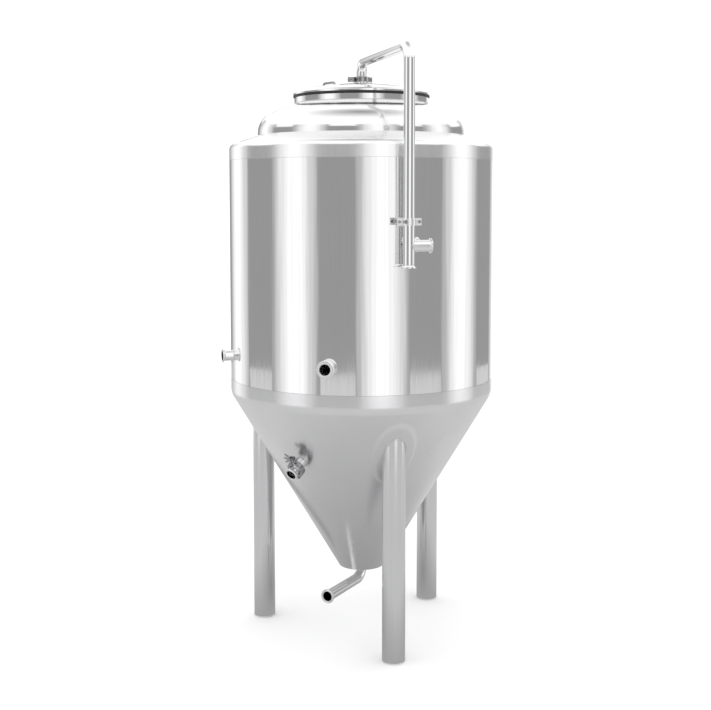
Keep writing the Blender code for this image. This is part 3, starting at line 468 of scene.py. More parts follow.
def add(name, mesh, body, finish, nodes=(), matrix=HERE, edge=0.0):
    """Put a piece in the scene. edge rounds its sharp edges; nodes are the CAD nodes it stands for."""
    mesh.name = name
    mesh.materials.clear()
    mesh.materials.append(finish)
    made = placed(name, mesh)
    made.matrix_world = AT_AXIS @ matrix
    if edge:
        mesh.shade_smooth()
        mesh.set_sharp_from_angle(angle=math.radians(35))
        bevel = made.modifiers.new("edge", "BEVEL")
        bevel.width = edge
        bevel.segments = 2
        bevel.limit_method = "ANGLE"
        bevel.angle_limit = math.radians(40)
        bevel.harden_normals = True
    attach(made, body)
    if nodes:
        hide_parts(*nodes)
    return made


def weld(name, path, size, body, matrix=HERE):
    add(name, bead(path, size), body, WELD, (), matrix)


def weld_ring(name, radius, height, count, size, body, matrix=HERE):
    """A weld round a circle; count is the number of points along it."""
    path = [Vector((radius * x, radius * y, height)) for x, y in turns(count)]
    weld(name, path, size, body, matrix)


# ---- materials --------------------------------------------------------------------------
def shader_of(name, colour):
    made = bpy.data.materials.new(name)
    made.use_nodes = True
    made.diffuse_color = (*colour, 1.0)
    return made, made.node_tree.nodes, made.node_tree.links, made.node_tree.nodes["Principled BSDF"]


def new_node(nodes, kind, values):
    """A shader node of a kind, some of its inputs set to values."""
    made = nodes.new("ShaderNode" + kind)
    for key, value in values.items():
        made.inputs[key].default_value = value
    return made


def maths(nodes, links, operation, *terms):
    """A sum or product; each term is a number or another node's output."""
    made = nodes.new("ShaderNodeMath")
    made.operation = operation
    for socket, term in zip(made.inputs, terms):
        if isinstance(term, float):
            socket.default_value = term
        else:
            links.new(term, socket)
    return made.outputs[0]


def noise(nodes, links, stretch, scale, detail=3.0):
    """A noise of the piece's own coordinates, stretched along its grain."""
    place = nodes.new("ShaderNodeTexCoord")
    mapping = new_node(nodes, "Mapping", {"Scale": stretch})
    grain = new_node(nodes, "TexNoise", {"Scale": scale, "Detail": detail})
    links.new(place.outputs["Object"], mapping.inputs["Vector"])
    links.new(mapping.outputs["Vector"], grain.inputs["Vector"])
    return grain.outputs["Fac"]


def ranged(nodes, links, value, low, high, start=0.3, end=0.7):
    made = new_node(nodes, "MapRange",
                    {"From Min": start, "From Max": end, "To Min": low, "To Max": high})
    links.new(value, made.inputs["Value"])
    return made.outputs["Result"]


def mixed_colour(nodes, links, value, first, second, start=0.3, end=0.7):
    made = nodes.new("ShaderNodeMix")
    made.data_type = "RGBA"
    made.inputs["A"].default_value = (*first, 1.0)
    made.inputs["B"].default_value = (*second, 1.0)
    links.new(ranged(nodes, links, value, 0.0, 1.0, start, end), made.inputs["Factor"])
    return made.outputs["Result"]


def bumped(nodes, links, value, strength, distance, under=None):
    made = new_node(nodes, "Bump", {"Strength": strength, "Distance": distance})
    if under:
        links.new(under, made.inputs["Normal"])
    links.new(value, made.inputs["Height"])
    return made.outputs["Normal"]


def steel(name, colour, roughness, stretch, scale, spread=0.03, depth=0.00002, wave=0.0,
          anisotropy=0.0, shade=0.95):
    """Stainless steel: a grain in colour, roughness and height, over a slow cloudiness.

    depth is the grain's height and wave that of the sheet's slow unevenness, in metres.
    anisotropy draws the highlights out across the grain that runs round the Z axis.
    """
    made, nodes, links, shader = shader_of(name, colour)
    fine = noise(nodes, links, stretch, scale, 4.0)
    slow = noise(nodes, links, (1, 1, 1), 5.0, 3.0)
    mix = maths(nodes, links, "MULTIPLY_ADD", fine, 0.65, maths(nodes, links, "MULTIPLY", slow, 0.35))
    dark = tuple(channel * shade for channel in colour)
    links.new(mixed_colour(nodes, links, mix, dark, colour), shader.inputs["Base Color"])
    links.new(ranged(nodes, links, mix, roughness + spread, max(0.02, roughness - spread)),
              shader.inputs["Roughness"])
    relief = bumped(nodes, links, fine, 0.5, depth)
    if wave:
        uneven = noise(nodes, links, (1, 1, 0.04), 24.0, 2.0)
        relief = bumped(nodes, links, uneven, 1.0, wave, relief)
    links.new(relief, shader.inputs["Normal"])
    shader.inputs["Metallic"].default_value = 1.0
    if anisotropy:
        shader.inputs["Anisotropic"].default_value = anisotropy
        shader.inputs["Anisotropic Rotation"].default_value = 0.25
        tangent = nodes.new("ShaderNodeTangent")
        tangent.direction_type = "RADIAL"
        tangent.axis = "Z"
        links.new(tangent.outputs["Tangent"], shader.inputs["Tangent"])
    return made


def plain(name, colour, roughness, scale, spread=0.08, depth=0.0001, shade=0.8, specular=0.5):
    """Rubber, silicone or foam: a fine even mottle in colour, roughness and height."""
    made, nodes, links, shader = shader_of(name, colour)
    fine = noise(nodes, links, (1, 1, 1), scale, 5.0)
    dark = tuple(channel * shade for channel in colour)
    links.new(mixed_colour(nodes, links, fine, dark, colour), shader.inputs["Base Color"])
    links.new(ranged(nodes, links, fine, roughness - spread, roughness + spread),
              shader.inputs["Roughness"])
    links.new(bumped(nodes, links, fine, 0.4, depth), shader.inputs["Normal"])
    shader.inputs["Specular IOR Level"].default_value = specular
    return made


UPRIGHT = (60, 60, 0.6)
ROUND = (0.8, 0.8, 90)
TUBULAR = (24, 24, 1.5)
EVEN = (1, 1, 1)
LATHED = (3, 3, 60)
MIRROR = steel("jacket_polished_steel", (0.88, 0.88, 0.885), 0.065, UPRIGHT, 4.0, 0.05, 0.00003, 0.0007)
DOME = steel("dome_polished_steel", (0.86, 0.86, 0.865), 0.13, ROUND, 5.0, 0.02, 0.000008, 0.0004)
SATIN = steel("cladding_satin_steel", (0.90, 0.90, 0.905), 0.24, UPRIGHT, 2.0, 0.04, 0.00001,
              0.0003, 0.5, 0.98)
CONE_SATIN = steel("cone_satin_steel", (0.80, 0.80, 0.81), 0.25, EVEN, 9.0, 0.04, 0.00001, 0.0003, 0.3)
LEG_SATIN = steel("leg_satin_steel", (0.74, 0.74, 0.75), 0.17, UPRIGHT, 5.0, 0.04, 0.00001)
LID_POLISH = steel("lid_polished_steel", (0.86, 0.86, 0.865), 0.07, ROUND, 5.0, 0.02, 0.000006, 0.0001)
PIPE_POLISH = steel("pipe_polished_steel", (0.92, 0.92, 0.925), 0.07, TUBULAR, 8.0, 0.02, 0.000004)
FERRULE = steel("ferrule_machined_steel", (0.88, 0.88, 0.885), 0.10, LATHED, 12.0, 0.03, 0.00001)
UNION = steel("union_turned_steel", (0.95, 0.95, 0.955), 0.28, LATHED, 12.0, 0.03, 0.00001,
              shade=1.0)
CAST = steel("cast_tumbled_steel", (0.46, 0.46, 0.47), 0.12, EVEN, 700.0, 0.06, 0.00005, shade=0.7)
BRACKET = steel("bracket_satin_steel", (0.93, 0.93, 0.935), 0.34, (2, 2, 40), 20.0, 0.05,
                0.00001, shade=1.0)
WELD = steel("weld_bead_steel", (0.78, 0.77, 0.75), 0.24, EVEN, 400.0, 0.08, 0.0001, shade=0.8)
INNER = steel("vessel_mill_steel", (0.55, 0.55, 0.56), 0.38, EVEN, 60.0, 0.06, 0.00003)
RUBBER = plain("black_gasket_rubber", (0.012, 0.012, 0.012), 0.55, 600.0)
SILICONE = plain("clamp_seal_silicone", (0.80, 0.80, 0.77), 0.42, 500.0, shade=0.93)
FOAM = plain("cut_foam", (0.72, 0.62, 0.38), 0.88, 300.0, depth=0.0006, shade=0.75, specular=0.2)


# ---- the tank's outlines ----------------------------------------------------------------
KNUCKLE_RADIUS = JACKET_RADIUS - CONE_KNUCKLE * (1 - math.cos(CONE_HALF_ANGLE))
KNUCKLE_HEIGHT = CONE_TANGENT - CONE_KNUCKLE * math.sin(CONE_HALF_ANGLE)
SHOULDER_EDGE = (SHOULDER_TOP - SHOULDER_BEND * math.cos(SHOULDER_SLOPE)
                 - (JACKET_RADIUS - SHOULDER_BEND * (1 - math.sin(SHOULDER_SLOPE)) - VESSEL_RADIUS
                    - CLEARANCE) * math.tan(SHOULDER_SLOPE))


def cone_line(height, inset=0.0):
    """Radius of the cone cladding's outer line at a height, moved inward by inset."""
    run = (height - KNUCKLE_HEIGHT) * math.tan(CONE_HALF_ANGLE)
    return KNUCKLE_RADIUS + run - inset / math.cos(CONE_HALF_ANGLE)


def cone_height(radius, inset=0.0):
    """Height where the cone's line, moved inward by inset, has a radius."""
    run = radius - KNUCKLE_RADIUS + inset / math.cos(CONE_HALF_ANGLE)
    return KNUCKLE_HEIGHT + run / math.tan(CONE_HALF_ANGLE)


def head_centre():
    return HEAD_TANGENT - math.sqrt(
        (HEAD_CROWN - HEAD_KNUCKLE) ** 2 - (VESSEL_RADIUS - HEAD_KNUCKLE) ** 2)


def head_height(radius):
    return head_centre() + math.sqrt(HEAD_CROWN ** 2 - radius ** 2)


def vessel_outline(inset):
    """The vessel from its manway hole down to its outlet, moved inward by inset."""
    upright = math.pi / 2
    meet = math.asin((VESSEL_RADIUS - HEAD_KNUCKLE) / (HEAD_CROWN - HEAD_KNUCKLE))
    rim = math.asin((MANWAY_RADIUS - MANWAY_WALL) / (HEAD_CROWN - inset))
    crown = arc((0, head_centre()), HEAD_CROWN - inset, upright - rim, upright - meet, 8)
    knuckle = arc((VESSEL_RADIUS - HEAD_KNUCKLE, HEAD_TANGENT), HEAD_KNUCKLE - inset,
                  upright - meet, 0, 16)
    depth = CONE_INSULATION + inset
    return [*crown, *knuckle[1:], (VESSEL_RADIUS - inset, cone_height(VESSEL_RADIUS - inset, depth)),
            (TUBE_RADIUS - inset, cone_height(TUBE_RADIUS - inset, depth))]


def cladding_outline(inset, top, bottom):
    """Band, knuckle and cone from top to bottom, moved inward by inset."""
    knuckle = arc((JACKET_RADIUS - CONE_KNUCKLE, CONE_TANGENT), CONE_KNUCKLE - inset,
                  0, -CONE_HALF_ANGLE, 12)
    return [(JACKET_RADIUS - inset, top), *knuckle, (cone_line(bottom, inset), bottom)]


def shoulder_outline(inset):
    bend = arc((JACKET_RADIUS - SHOULDER_BEND, SHOULDER_EDGE), SHOULDER_BEND - inset,
               0, math.pi / 2 - SHOULDER_SLOPE, 12)
    edge = VESSEL_RADIUS + CLEARANCE
    rise = (bend[-1][0] - edge) * math.tan(SHOULDER_SLOPE)
    return [(JACKET_RADIUS - inset, JACKET_TOP + CLEARANCE), *bend, (edge, bend[-1][1] + rise)]


def ferrule_outline(length, bore=TUBE_BORE):
    """A clamp ferrule: grooved sealing face at height 0, tapered back, tube down to -length."""
    groove = arc((GROOVE_CENTRE, 0), GROOVE_RADIUS, math.pi, 2 * math.pi, 8)
    back = [(FLANGE_RADIUS, -0.0028, 0.0005), (TUBE_RADIUS + 0.0018, -0.0054, 0.002),
            (TUBE_RADIUS, -0.0090, 0.004)]
    return rounded([(bore, -length), (bore, 0, 0.0004), *groove, (FLANGE_RADIUS, 0, 0.0006), *back,
                    (TUBE_RADIUS, -length)], 4)


def union_outline(length):
    """A male union end: face at height 0 with a seal's groove, round thread, tube to -length."""
    groove = arc((GROOVE_CENTRE + GROOVE_RADIUS, 0), GROOVE_RADIUS, math.pi, 2 * math.pi, 8)
    thread = []
    steps = 8 * UNION_THREADS
    for step in range(steps + 1):
        dip = (1 - math.cos(2 * math.pi * UNION_THREADS * step / steps)) / 2
        along = UNION_CREST + (UNION_LENGTH - UNION_CREST) * step / steps
        thread.append((UNION_RADIUS - UNION_CREST * dip, -along))
    return rounded([
        (TUBE_BORE, -length), (TUBE_BORE, -UNION_BACK), (UNION_BORE, -UNION_SEAT),
        (UNION_BORE, 0, 0.0006), *groove, (UNION_RADIUS - UNION_CREST, 0), *thread,
        (TUBE_RADIUS, -UNION_BACK, 0.002), (TUBE_RADIUS, -length)], 4)


def port_cutter(azimuth, height, radius, cut=WALL_CUT, dip=0.0, start=0.0):
    mesh = rod(radius, (0, 0, cut[0]), (0, 0, cut[1]), 48)
    mesh.transform(radial(azimuth, start, height, dip))
    return mesh


def cone_cutter(radius):
    return port_cutter(CONE_PORT_AZIMUTH, CONE_PORT_HEIGHT, radius, CONE_CUT, CONE_HALF_ANGLE,
                       cone_line(CONE_PORT_HEIGHT))


# ---- the tank ---------------------------------------------------------------------------
def add_shells():
    neck = TUBE_RADIUS + CLEARANCE
    vessel = vessel_outline(0) + vessel_outline(VESSEL_SHEET)[::-1]
    add("vessel_skin", turned(vessel, SHELL_STEPS, [
        port_cutter(PORT_AZIMUTH, PORT_HEIGHT, TUBE_BORE), cone_cutter(TUBE_BORE)]),
        "tank", DOME, ["inner_vessel"])

    # the jacket's long walls are split in height, so that a port's hole touches only short faces
    walls = [JACKET_TOP + (JACKET_BOTTOM - JACKET_TOP) * step / JACKET_BANDS
             for step in range(1, JACKET_BANDS)]
    inside = JACKET_RADIUS - SHEET
    jacket = rounded([
        (inside, JACKET_BOTTOM), *[(inside, height) for height in walls[::-1]], (inside, JACKET_TOP),
        (JACKET_RADIUS, JACKET_TOP, 0.0006), *[(JACKET_RADIUS, height) for height in walls],
        (JACKET_RADIUS, JACKET_BOTTOM, 0.0006)])
    holes = [port_cutter(PORT_AZIMUTH, PORT_HEIGHT, neck),
             port_cutter(GLYCOL_IN_AZIMUTH, PORT_HEIGHT, neck),
             port_cutter(GLYCOL_OUT_AZIMUTH, GLYCOL_OUT_HEIGHT, neck)]
    add("jacket_skin", turned(jacket, SHELL_STEPS, holes), "tank", MIRROR,
        ["jacket_shell"])

    seam = JACKET_BOTTOM - CLEARANCE
    cladding = cladding_outline(0, seam, CONE_BOTTOM) + cladding_outline(SHEET, seam, CONE_BOTTOM)[::-1]
    add("cone_skin", turned(cladding, SHELL_STEPS, [cone_cutter(neck)]), "tank",
        CONE_SATIN, ["cone_cladding"])
    cap = rounded([
        (neck, CONE_BOTTOM, 0.0005), (cone_line(CONE_BOTTOM, SHEET) - CLEARANCE, CONE_BOTTOM, 0.0005),
        (cone_line(CONE_BOTTOM, SHEET) - CLEARANCE, CONE_BOTTOM + SHEET), (neck, CONE_BOTTOM + SHEET)])
    add("cone_cap_skin", turned(cap, SHELL_STEPS), "tank", CONE_SATIN,
        ["cone_end_cap"])
    shoulder = shoulder_outline(0) + shoulder_outline(SHEET)[::-1]
    add("shoulder_skin", turned(shoulder, SHELL_STEPS), "tank", SATIN,
        ["top_shoulder"])
    rim = cone_line(CONE_BOTTOM, SHEET / 2)
    weld_ring("cone_cap_weld", rim, CONE_BOTTOM, 240, CAP_WELD, "tank")
    weld_ring("outlet_neck_weld", neck, CONE_BOTTOM, 120, NECK_WELD, "tank")


def add_manway():
    inside = MANWAY_RADIUS - MANWAY_WALL
    collar = rounded([
        (MANWAY_RADIUS, MANWAY_TOP, 0.0010), (MANWAY_RADIUS, head_height(MANWAY_RADIUS) + CLEARANCE),
        (inside, head_height(inside) + CLEARANCE), (inside, MANWAY_TOP - MANWAY_LIP, 0.001),
        (MANWAY_CLEAR_RADIUS, MANWAY_TOP - MANWAY_LIP, 0.001), (MANWAY_CLEAR_RADIUS, MANWAY_TOP, 0.001)])
    add("manway_collar_skin", turned(collar, SHELL_STEPS), "tank", LID_POLISH,
        ["manway_collar"])
    foot = head_height(MANWAY_RADIUS + 0.001) + 0.0004
    weld_ring("manway_collar_weld", MANWAY_RADIUS + 0.0006, foot, 720, CAP_WELD, "tank")
    low, high = span("manway_gasket")[2], span("manway_gasket")[3]
    gasket = rounded([
        (MANWAY_CLEAR_RADIUS, high, 0.001), (GASKET_RADIUS, high, 0.003), (GASKET_RADIUS, low, 0.003),
        (MANWAY_CLEAR_RADIUS, low, 0.001)], 5)
    add("manway_gasket_skin", turned(gasket, SHELL_STEPS), "tank", RUBBER,
        ["manway_gasket"])


def leg_ring(radius_x, radius_y, inset, count):
    """Points round the front leg's axis, on the cone moved inward by inset."""
    ring = []
    for across, ahead in turns(count):
        x, y = radius_x * across, -LEG_CIRCLE + radius_y * ahead
        ring.append(Vector((x, y, cone_height(math.hypot(x, y), inset))))
    return ring


def leg_mesh(count=96):
    """The leg's tube, cut to the cone at its top."""
    work = bmesh.new()
    under = -(PAD_THICKNESS + 2 * CLEARANCE)
    tops = [leg_ring(size, size, under, count) for size in (LEG_RADIUS, LEG_RADIUS - LEG_WALL)]
    walls = []
    for top in tops:
        low = [work.verts.new((point.x, point.y, LEG_BOTTOM)) for point in top]
        mid = [work.verts.new((point.x, point.y, min(p.z for p in top) - 0.01)) for point in top]
        high = [work.verts.new(point) for point in top]
        walls.append((low, mid, high))
    for low, mid, high in walls:
        bridge(work, low, mid)
        bridge(work, mid, high)
    for level in (0, 2):
        bridge(work, walls[0][level], walls[1][level])
    axis = Vector((0, -LEG_CIRCLE, 0))

    def wanted(face_normal, point):
        out = Vector((point.x - axis.x, point.y - axis.y, 0)).normalized()
        facing = out.dot(face_normal)
        return out * math.copysign(1, facing) if abs(facing) > 0.9 else None
    return dressed(to_mesh(work), wanted)


def pad_mesh(count=144):
    """The doubler plate: an oval on the cone round the leg, its weld ground to a soft edge."""
    work = bmesh.new()
    wide, deep = LEG_RADIUS + PAD_MARGIN, LEG_RADIUS + PAD_MARGIN * math.cos(CONE_HALF_ANGLE)
    profile = [(0.45, 1.0), (0.80, 1.0), (0.90, 1.0), (0.93, 0.97), (0.96, 0.88), (0.985, 0.74),
               (1.01, 0.55), (1.035, 0.36), (1.06, 0.19), (1.09, 0.07), (1.12, 0.02)]
    levels = [(share, PAD_THICKNESS * rise) for share, rise in profile] + [(0.45, CLEARANCE / 2)]
    rings = [[work.verts.new(point) for point in leg_ring(wide * share, deep * share, -rise, count)]
             for share, rise in levels]
    for near, far in zip(rings, rings[1:] + rings[:1]):
        bridge(work, near, far)
    mesh = to_mesh(work)
    mesh.shade_smooth()
    mesh.set_sharp_from_angle(angle=math.radians(50))
    return mesh


def add_legs():
    foot = rounded([(0.001, 0), (LEG_RADIUS, 0, 0.001), (LEG_RADIUS, FOOT_THICKNESS, 0.0006),
                    (0.001, FOOT_THICKNESS)])
    for name, azimuth in LEG_AZIMUTHS.items():
        turn = Matrix.Rotation(azimuth, 4, "Z")
        under = turn @ shift(0, -LEG_CIRCLE, 0)
        add("leg_tube_" + name, leg_mesh(), "tank", LEG_SATIN, ["leg_" + name], turn)
        add("leg_doubler_" + name, pad_mesh(), "tank", CONE_SATIN,
            ["leg_pad_" + name], turn)
        add("leg_foot_" + name, turned(foot), "tank", LEG_SATIN,
            ["foot_plate_" + name], under)
        weld_ring("leg_foot_weld_" + name, LEG_RADIUS - 0.0006, FOOT_THICKNESS, 180, FOOT_WELD, "tank",
                  under)
        joint = leg_ring(LEG_RADIUS + 0.0008, LEG_RADIUS + 0.0008, -PAD_THICKNESS - 0.0008, 240)
        weld("leg_weld_" + name, joint, LEG_WELD, "tank", turn)


def neck_ring(radius, wall, count=150):
    """Points where a neck of a radius leaves an upright round wall, in the neck's own frame."""
    ring = []
    for across, ahead in turns(count):
        x, y = radius * across, radius * ahead
        ring.append(Vector((x, y, math.sqrt(wall ** 2 - y ** 2) - wall)))
    return ring


def add_port(name, node, azimuth, reach, height, inner, outline=ferrule_outline, finish=FERRULE):
    place = radial(azimuth, reach, height)
    add(name, turned(outline(reach - inner - CLEARANCE)), "tank", finish, [node],
        place)
    weld(name + "_weld", neck_ring(TUBE_RADIUS + 0.0010, JACKET_RADIUS), PORT_WELD, "tank",
         radial(azimuth, JACKET_RADIUS, height))


def add_cone_port():
    """The port on the cone with its seal and open spool; gives the frame of its clamp."""
    wall = radial(CONE_PORT_AZIMUTH, cone_line(CONE_PORT_HEIGHT), CONE_PORT_HEIGHT,
                            CONE_HALF_ANGLE)
    place = wall @ shift(0, 0, CONE_PORT_REACH)
    length = CONE_PORT_REACH + CONE_INSULATION - SEAL_HALF - 2 * CLEARANCE
    add("cone_port_tube", turned(ferrule_outline(length)), "tank", FERRULE,
        ["cone_port_neck"], place @ shift(0, 0, -SEAL_HALF))
    weld("cone_port_weld", neck_ring(TUBE_RADIUS + 0.0012, CONE_PORT_WALL), CONE_PORT_WELD,
         "tank", wall)
    near = ferrule_outline(CONE_SPOOL / 2)[1:-1]
    far = [(radius, -CONE_SPOOL - height) for radius, height in near[::-1]]
    turn = shift(0, 0, SEAL_HALF) @ Matrix.Rotation(math.pi, 4, "X")
    add("cone_port_open_spool", turned(near + far), "tank", FERRULE,
        ["cone_port_spool"], place @ turn)
    return place


def add_outlet():
    """The bottom outlet: down from the vessel, round an elbow and out to its ferrule."""
    throat = cone_height(TUBE_RADIUS, CONE_INSULATION)
    out = Vector((math.sin(OUTLET_AZIMUTH), -math.cos(OUTLET_AZIMUTH), 0))
    down = Vector((0, 0, OUTLET_HEIGHT))
    reach = OUTLET_REACH - FERRULE_LENGTH - CLEARANCE
    path = filleted([(0, 0, throat - CLEARANCE), down, down + out * reach], OUTLET_BEND, 16)
    normal = out.cross(Vector((0, 0, 1)))
    add("outlet_elbow_pipe", swept(path, normal, TUBE_RADIUS, TUBE_BORE), "tank",
        PIPE_POLISH, ["outlet_pipe"])
    place = radial(OUTLET_AZIMUTH, OUTLET_REACH, OUTLET_HEIGHT)
    add("outlet_clamp_end", turned(ferrule_outline(FERRULE_LENGTH)), "tank", FERRULE,
        ["outlet_ferrule"], place)
    weld_ring("outlet_end_weld", TUBE_RADIUS - 0.0002, -FERRULE_LENGTH, 120, TUBE_WELD, "tank",
              place)
    for name, distance in (("near", OUTLET_BEND), ("far", -OUTLET_BEND)):
        if distance > 0:
            spot = radial(OUTLET_AZIMUTH, distance, OUTLET_HEIGHT)
        else:
            spot = shift(0, 0, OUTLET_HEIGHT - distance)
        weld_ring("outlet_elbow_weld_" + name, TUBE_RADIUS - 0.0003, 0, 120, TUBE_WELD, "tank",
                  spot)


# ---- clamps -----------------------------------------------------------------------------
JAW_LIP = 0.0213
JAW_GROOVE = 0.0257
JAW_BACK = 0.0315
JAW_HALF = 0.0095
JAW_CHAMFER = 0.0020
JAW_MOUTH = 0.0068
JAW_FLOOR = 0.0046
JAW_GAP = 0.0012
EAR_GAP = 0.0014
EAR_FACE = 0.0090
EAR_END = -0.0495
EAR_ROOT = -0.0285
EAR_HALF = 0.0083
HINGE_X = 0.0365
HINGE_RADIUS = 0.0050
PIN_RADIUS = 0.0020
PIN_HALF = 0.0105
TONGUE = 0.0028
FORK_INNER = 0.0032
FORK_OUTER = 0.0085
STRAP_ROOT = 0.0288
STRAP_NEAR = 0.0015
STRAP_FAR = 0.0044
SMALL_STEP = 0.0002
BOLT_X = -0.0425
BOLT_RADIUS = 0.0030
BOLT_END = -0.036
SLOT_HALF = 0.0036
EYE_OFFSET = 0.0063
EYE_RADIUS = 0.0058
EYE_HALF = 0.0034
CROSS_RADIUS = 0.0032
CROSS_HALF = 0.0085
THREAD_START = -0.006
THREAD_PITCH = 0.001
THREAD_DEPTH = 0.0005
WASHER_RADIUS = 0.0068
WASHER_THICKNESS = 0.0015
NUT_TOP_RADIUS = 0.0056
NUT_HEIGHT = 0.011
WING_HALF = 0.0014
WING_OUTLINE = [(0.0045, 0.0012), (0.0045, 0.0100), (0.0102, 0.0190), (0.0122, 0.0208),
                (0.0142, 0.0212), (0.0157, 0.0203), (0.0162, 0.0185), (0.0159, 0.0155),
                (0.0150, 0.0125), (0.0130, 0.0080), (0.0105, 0.0042)]
WING_NUT_TURN = math.radians(20)


def spun(outline, steps, closed=True):
    """An outline turned about Z: a closed one as a ring, one from axis to axis as a solid."""
    work = bmesh.new()
    points = [work.verts.new((radius, 0, height)) for radius, height in outline]
    onward = points[1:] + points[:1] if closed else points[1:]
    edges = [work.edges.new(pair) for pair in zip(points, onward)]
    bmesh.ops.spin(work, geom=points + edges, cent=(0, 0, 0), axis=(0, 0, 1), angle=2 * math.pi,
                   steps=steps, use_merge=True)
    bmesh.ops.remove_doubles(work, verts=work.verts, dist=1e-6)
    return to_mesh(work)


def clamp_jaw():
    """One half of a clamp, on the +Y side: a grooved half ring with an ear for the bolt."""
    bevel = JAW_BACK - JAW_CHAMFER
    side = JAW_HALF - JAW_CHAMFER
    ring = spun([
        (JAW_LIP, -JAW_HALF), (bevel, -JAW_HALF), (JAW_BACK, -side), (JAW_BACK, side),
        (bevel, JAW_HALF), (JAW_LIP, JAW_HALF), (JAW_LIP, JAW_MOUTH), (JAW_GROOVE, JAW_FLOOR),
        (JAW_GROOVE, -JAW_FLOOR), (JAW_LIP, -JAW_MOUTH)], 72)
    room = 2 * JAW_BACK
    jaw = boolean(ring, block((-room, JAW_GAP, -room), (room, room, room)), "INTERSECT")
    return boolean(jaw, block((EAR_END, EAR_GAP, -EAR_HALF), (EAR_ROOT, EAR_FACE, EAR_HALF)), "UNION")


def hinge_round(radius, low, high):
    return rod(radius, (HINGE_X, 0, low), (HINGE_X, 0, high))


def clamp_halves():
    """Both jaws: the near one (-Y) carries the hinge's fork, the far one (+Y) its tongue."""
    room = 2 * JAW_BACK
    slot = block((-room, -room, -SLOT_HALF), (BOLT_X + SLOT_HALF, room, SLOT_HALF))
    tongue = ((-TONGUE, TONGUE),)
    fork = ((-FORK_OUTER, -FORK_INNER), (FORK_INNER, FORK_OUTER))
    near_room = ((-TONGUE - CLEARANCE, TONGUE + CLEARANCE),)
    past = FORK_OUTER + 2 * EAR_GAP
    far_room = ((-past, -FORK_INNER + CLEARANCE), (FORK_INNER - CLEARANCE, past))
    halves = []
    for side, levels, rooms in ((1, tongue, far_room), (-1, fork, near_room)):
        jaw = clamp_jaw()
        if side < 0:
            jaw.transform(Matrix.Rotation(math.pi, 4, "X"))
        for low, high in levels:
            strap = sorted((side * STRAP_NEAR, side * STRAP_FAR))
            link = block((STRAP_ROOT, strap[0], low + SMALL_STEP),
                         (HINGE_X + 5 * SMALL_STEP, strap[1], high - SMALL_STEP))
            jaw = boolean(jaw, boolean(hinge_round(HINGE_RADIUS, low, high), link, "UNION"), "UNION")
        for low, high in rooms:
            jaw = boolean(jaw, hinge_round(HINGE_RADIUS + CLEARANCE, low, high), "DIFFERENCE")
        halves.append(boolean(jaw, slot, "DIFFERENCE"))
    return halves


def swing_bolt():
    """Eye bolt: its eye sits outside the far ear, its threaded shank lies along -Y."""
    across = EAR_FACE + EYE_OFFSET
    eye = rod(EYE_RADIUS, (BOLT_X, across, -EYE_HALF), (BOLT_X, across, EYE_HALF))
    shank = [(0, across - EYE_RADIUS / 2), (BOLT_RADIUS, across - EYE_RADIUS / 2)]
    for step in range(round((THREAD_START - BOLT_END) / THREAD_PITCH) - 1):
        level = THREAD_START - step * THREAD_PITCH
        shank += [(BOLT_RADIUS, level), (BOLT_RADIUS - THREAD_DEPTH, level - THREAD_PITCH / 2)]
    shank += [(BOLT_RADIUS - THREAD_DEPTH, BOLT_END), (0, BOLT_END)]
    body = spun(shank, 24, closed=False)
    body.transform(shift(BOLT_X, 0, 0) @ Matrix.Rotation(-math.pi / 2, 4, "X"))
    cross = rod(CROSS_RADIUS, (BOLT_X, across, -CROSS_HALF), (BOLT_X, across, CROSS_HALF))
    return boolean(boolean(eye, body, "UNION"), cross, "UNION")


def wing_nut():
    """A wing nut on the +Z axis, its base at z = 0."""
    bore = BOLT_RADIUS + CLEARANCE
    body = spun([(bore, 0), (WASHER_RADIUS, 0), (WASHER_RADIUS - SMALL_STEP, NUT_HEIGHT / 5),
                 (NUT_TOP_RADIUS, NUT_HEIGHT), (bore, NUT_HEIGHT)], 32)
    for side in (1, -1):
        wing = extruded([(side * x, z) for x, z in WING_OUTLINE], -WING_HALF, WING_HALF)
        wing.transform(Matrix.Rotation(math.pi / 2, 4, "X"))
        body = boolean(body, wing, "UNION")
    return body


def add_clamp(prefix, body, place):
    """All the pieces of one clamp, round the Z axis of place."""
    def put(name, mesh, node, matrix=place, owner=body, edge=0.0004):
        add(prefix + name, mesh, owner, CAST, [prefix + node], matrix, edge)
    far, near = clamp_halves()
    put("_far_half", far, "_jaw_far")
    put("_near_half", near, "_jaw_near")
    put("_pin", rod(PIN_RADIUS, (HINGE_X, 0, -PIN_HALF), (HINGE_X, 0, PIN_HALF), 24), "_hinge_pin")
    put("_eye_bolt", swing_bolt(), "_swing_bolt", edge=0.0001)
    along = place @ shift(BOLT_X, -EAR_FACE - CLEARANCE, 0) @ Matrix.Rotation(math.pi / 2, 4, "X")
    bore = BOLT_RADIUS + CLEARANCE
    ring = spun([(bore, 0), (WASHER_RADIUS, 0), (WASHER_RADIUS, WASHER_THICKNESS),
                 (bore, WASHER_THICKNESS)], 48)
    put("_flat_washer", ring, "_washer", along, body, 0.0003)
    outside = shift(0, 0, WASHER_THICKNESS + CLEARANCE)
    spot = along @ outside @ Matrix.Rotation(WING_NUT_TURN, 4, "Z")
    put("_winged_nut", wing_nut(), "_wing_nut", spot, prefix + "_nut", 0.0006)


# ---- the lid and everything that lifts with it --------------------------------------------
def dish_circle():
    """Centre height and radius of the lid's dished crown."""
    sag = LID_CROWN - LID_DISH_EDGE
    crown = (LID_DISH_RADIUS ** 2 + sag ** 2) / (2 * sag)
    return LID_CROWN - crown, crown


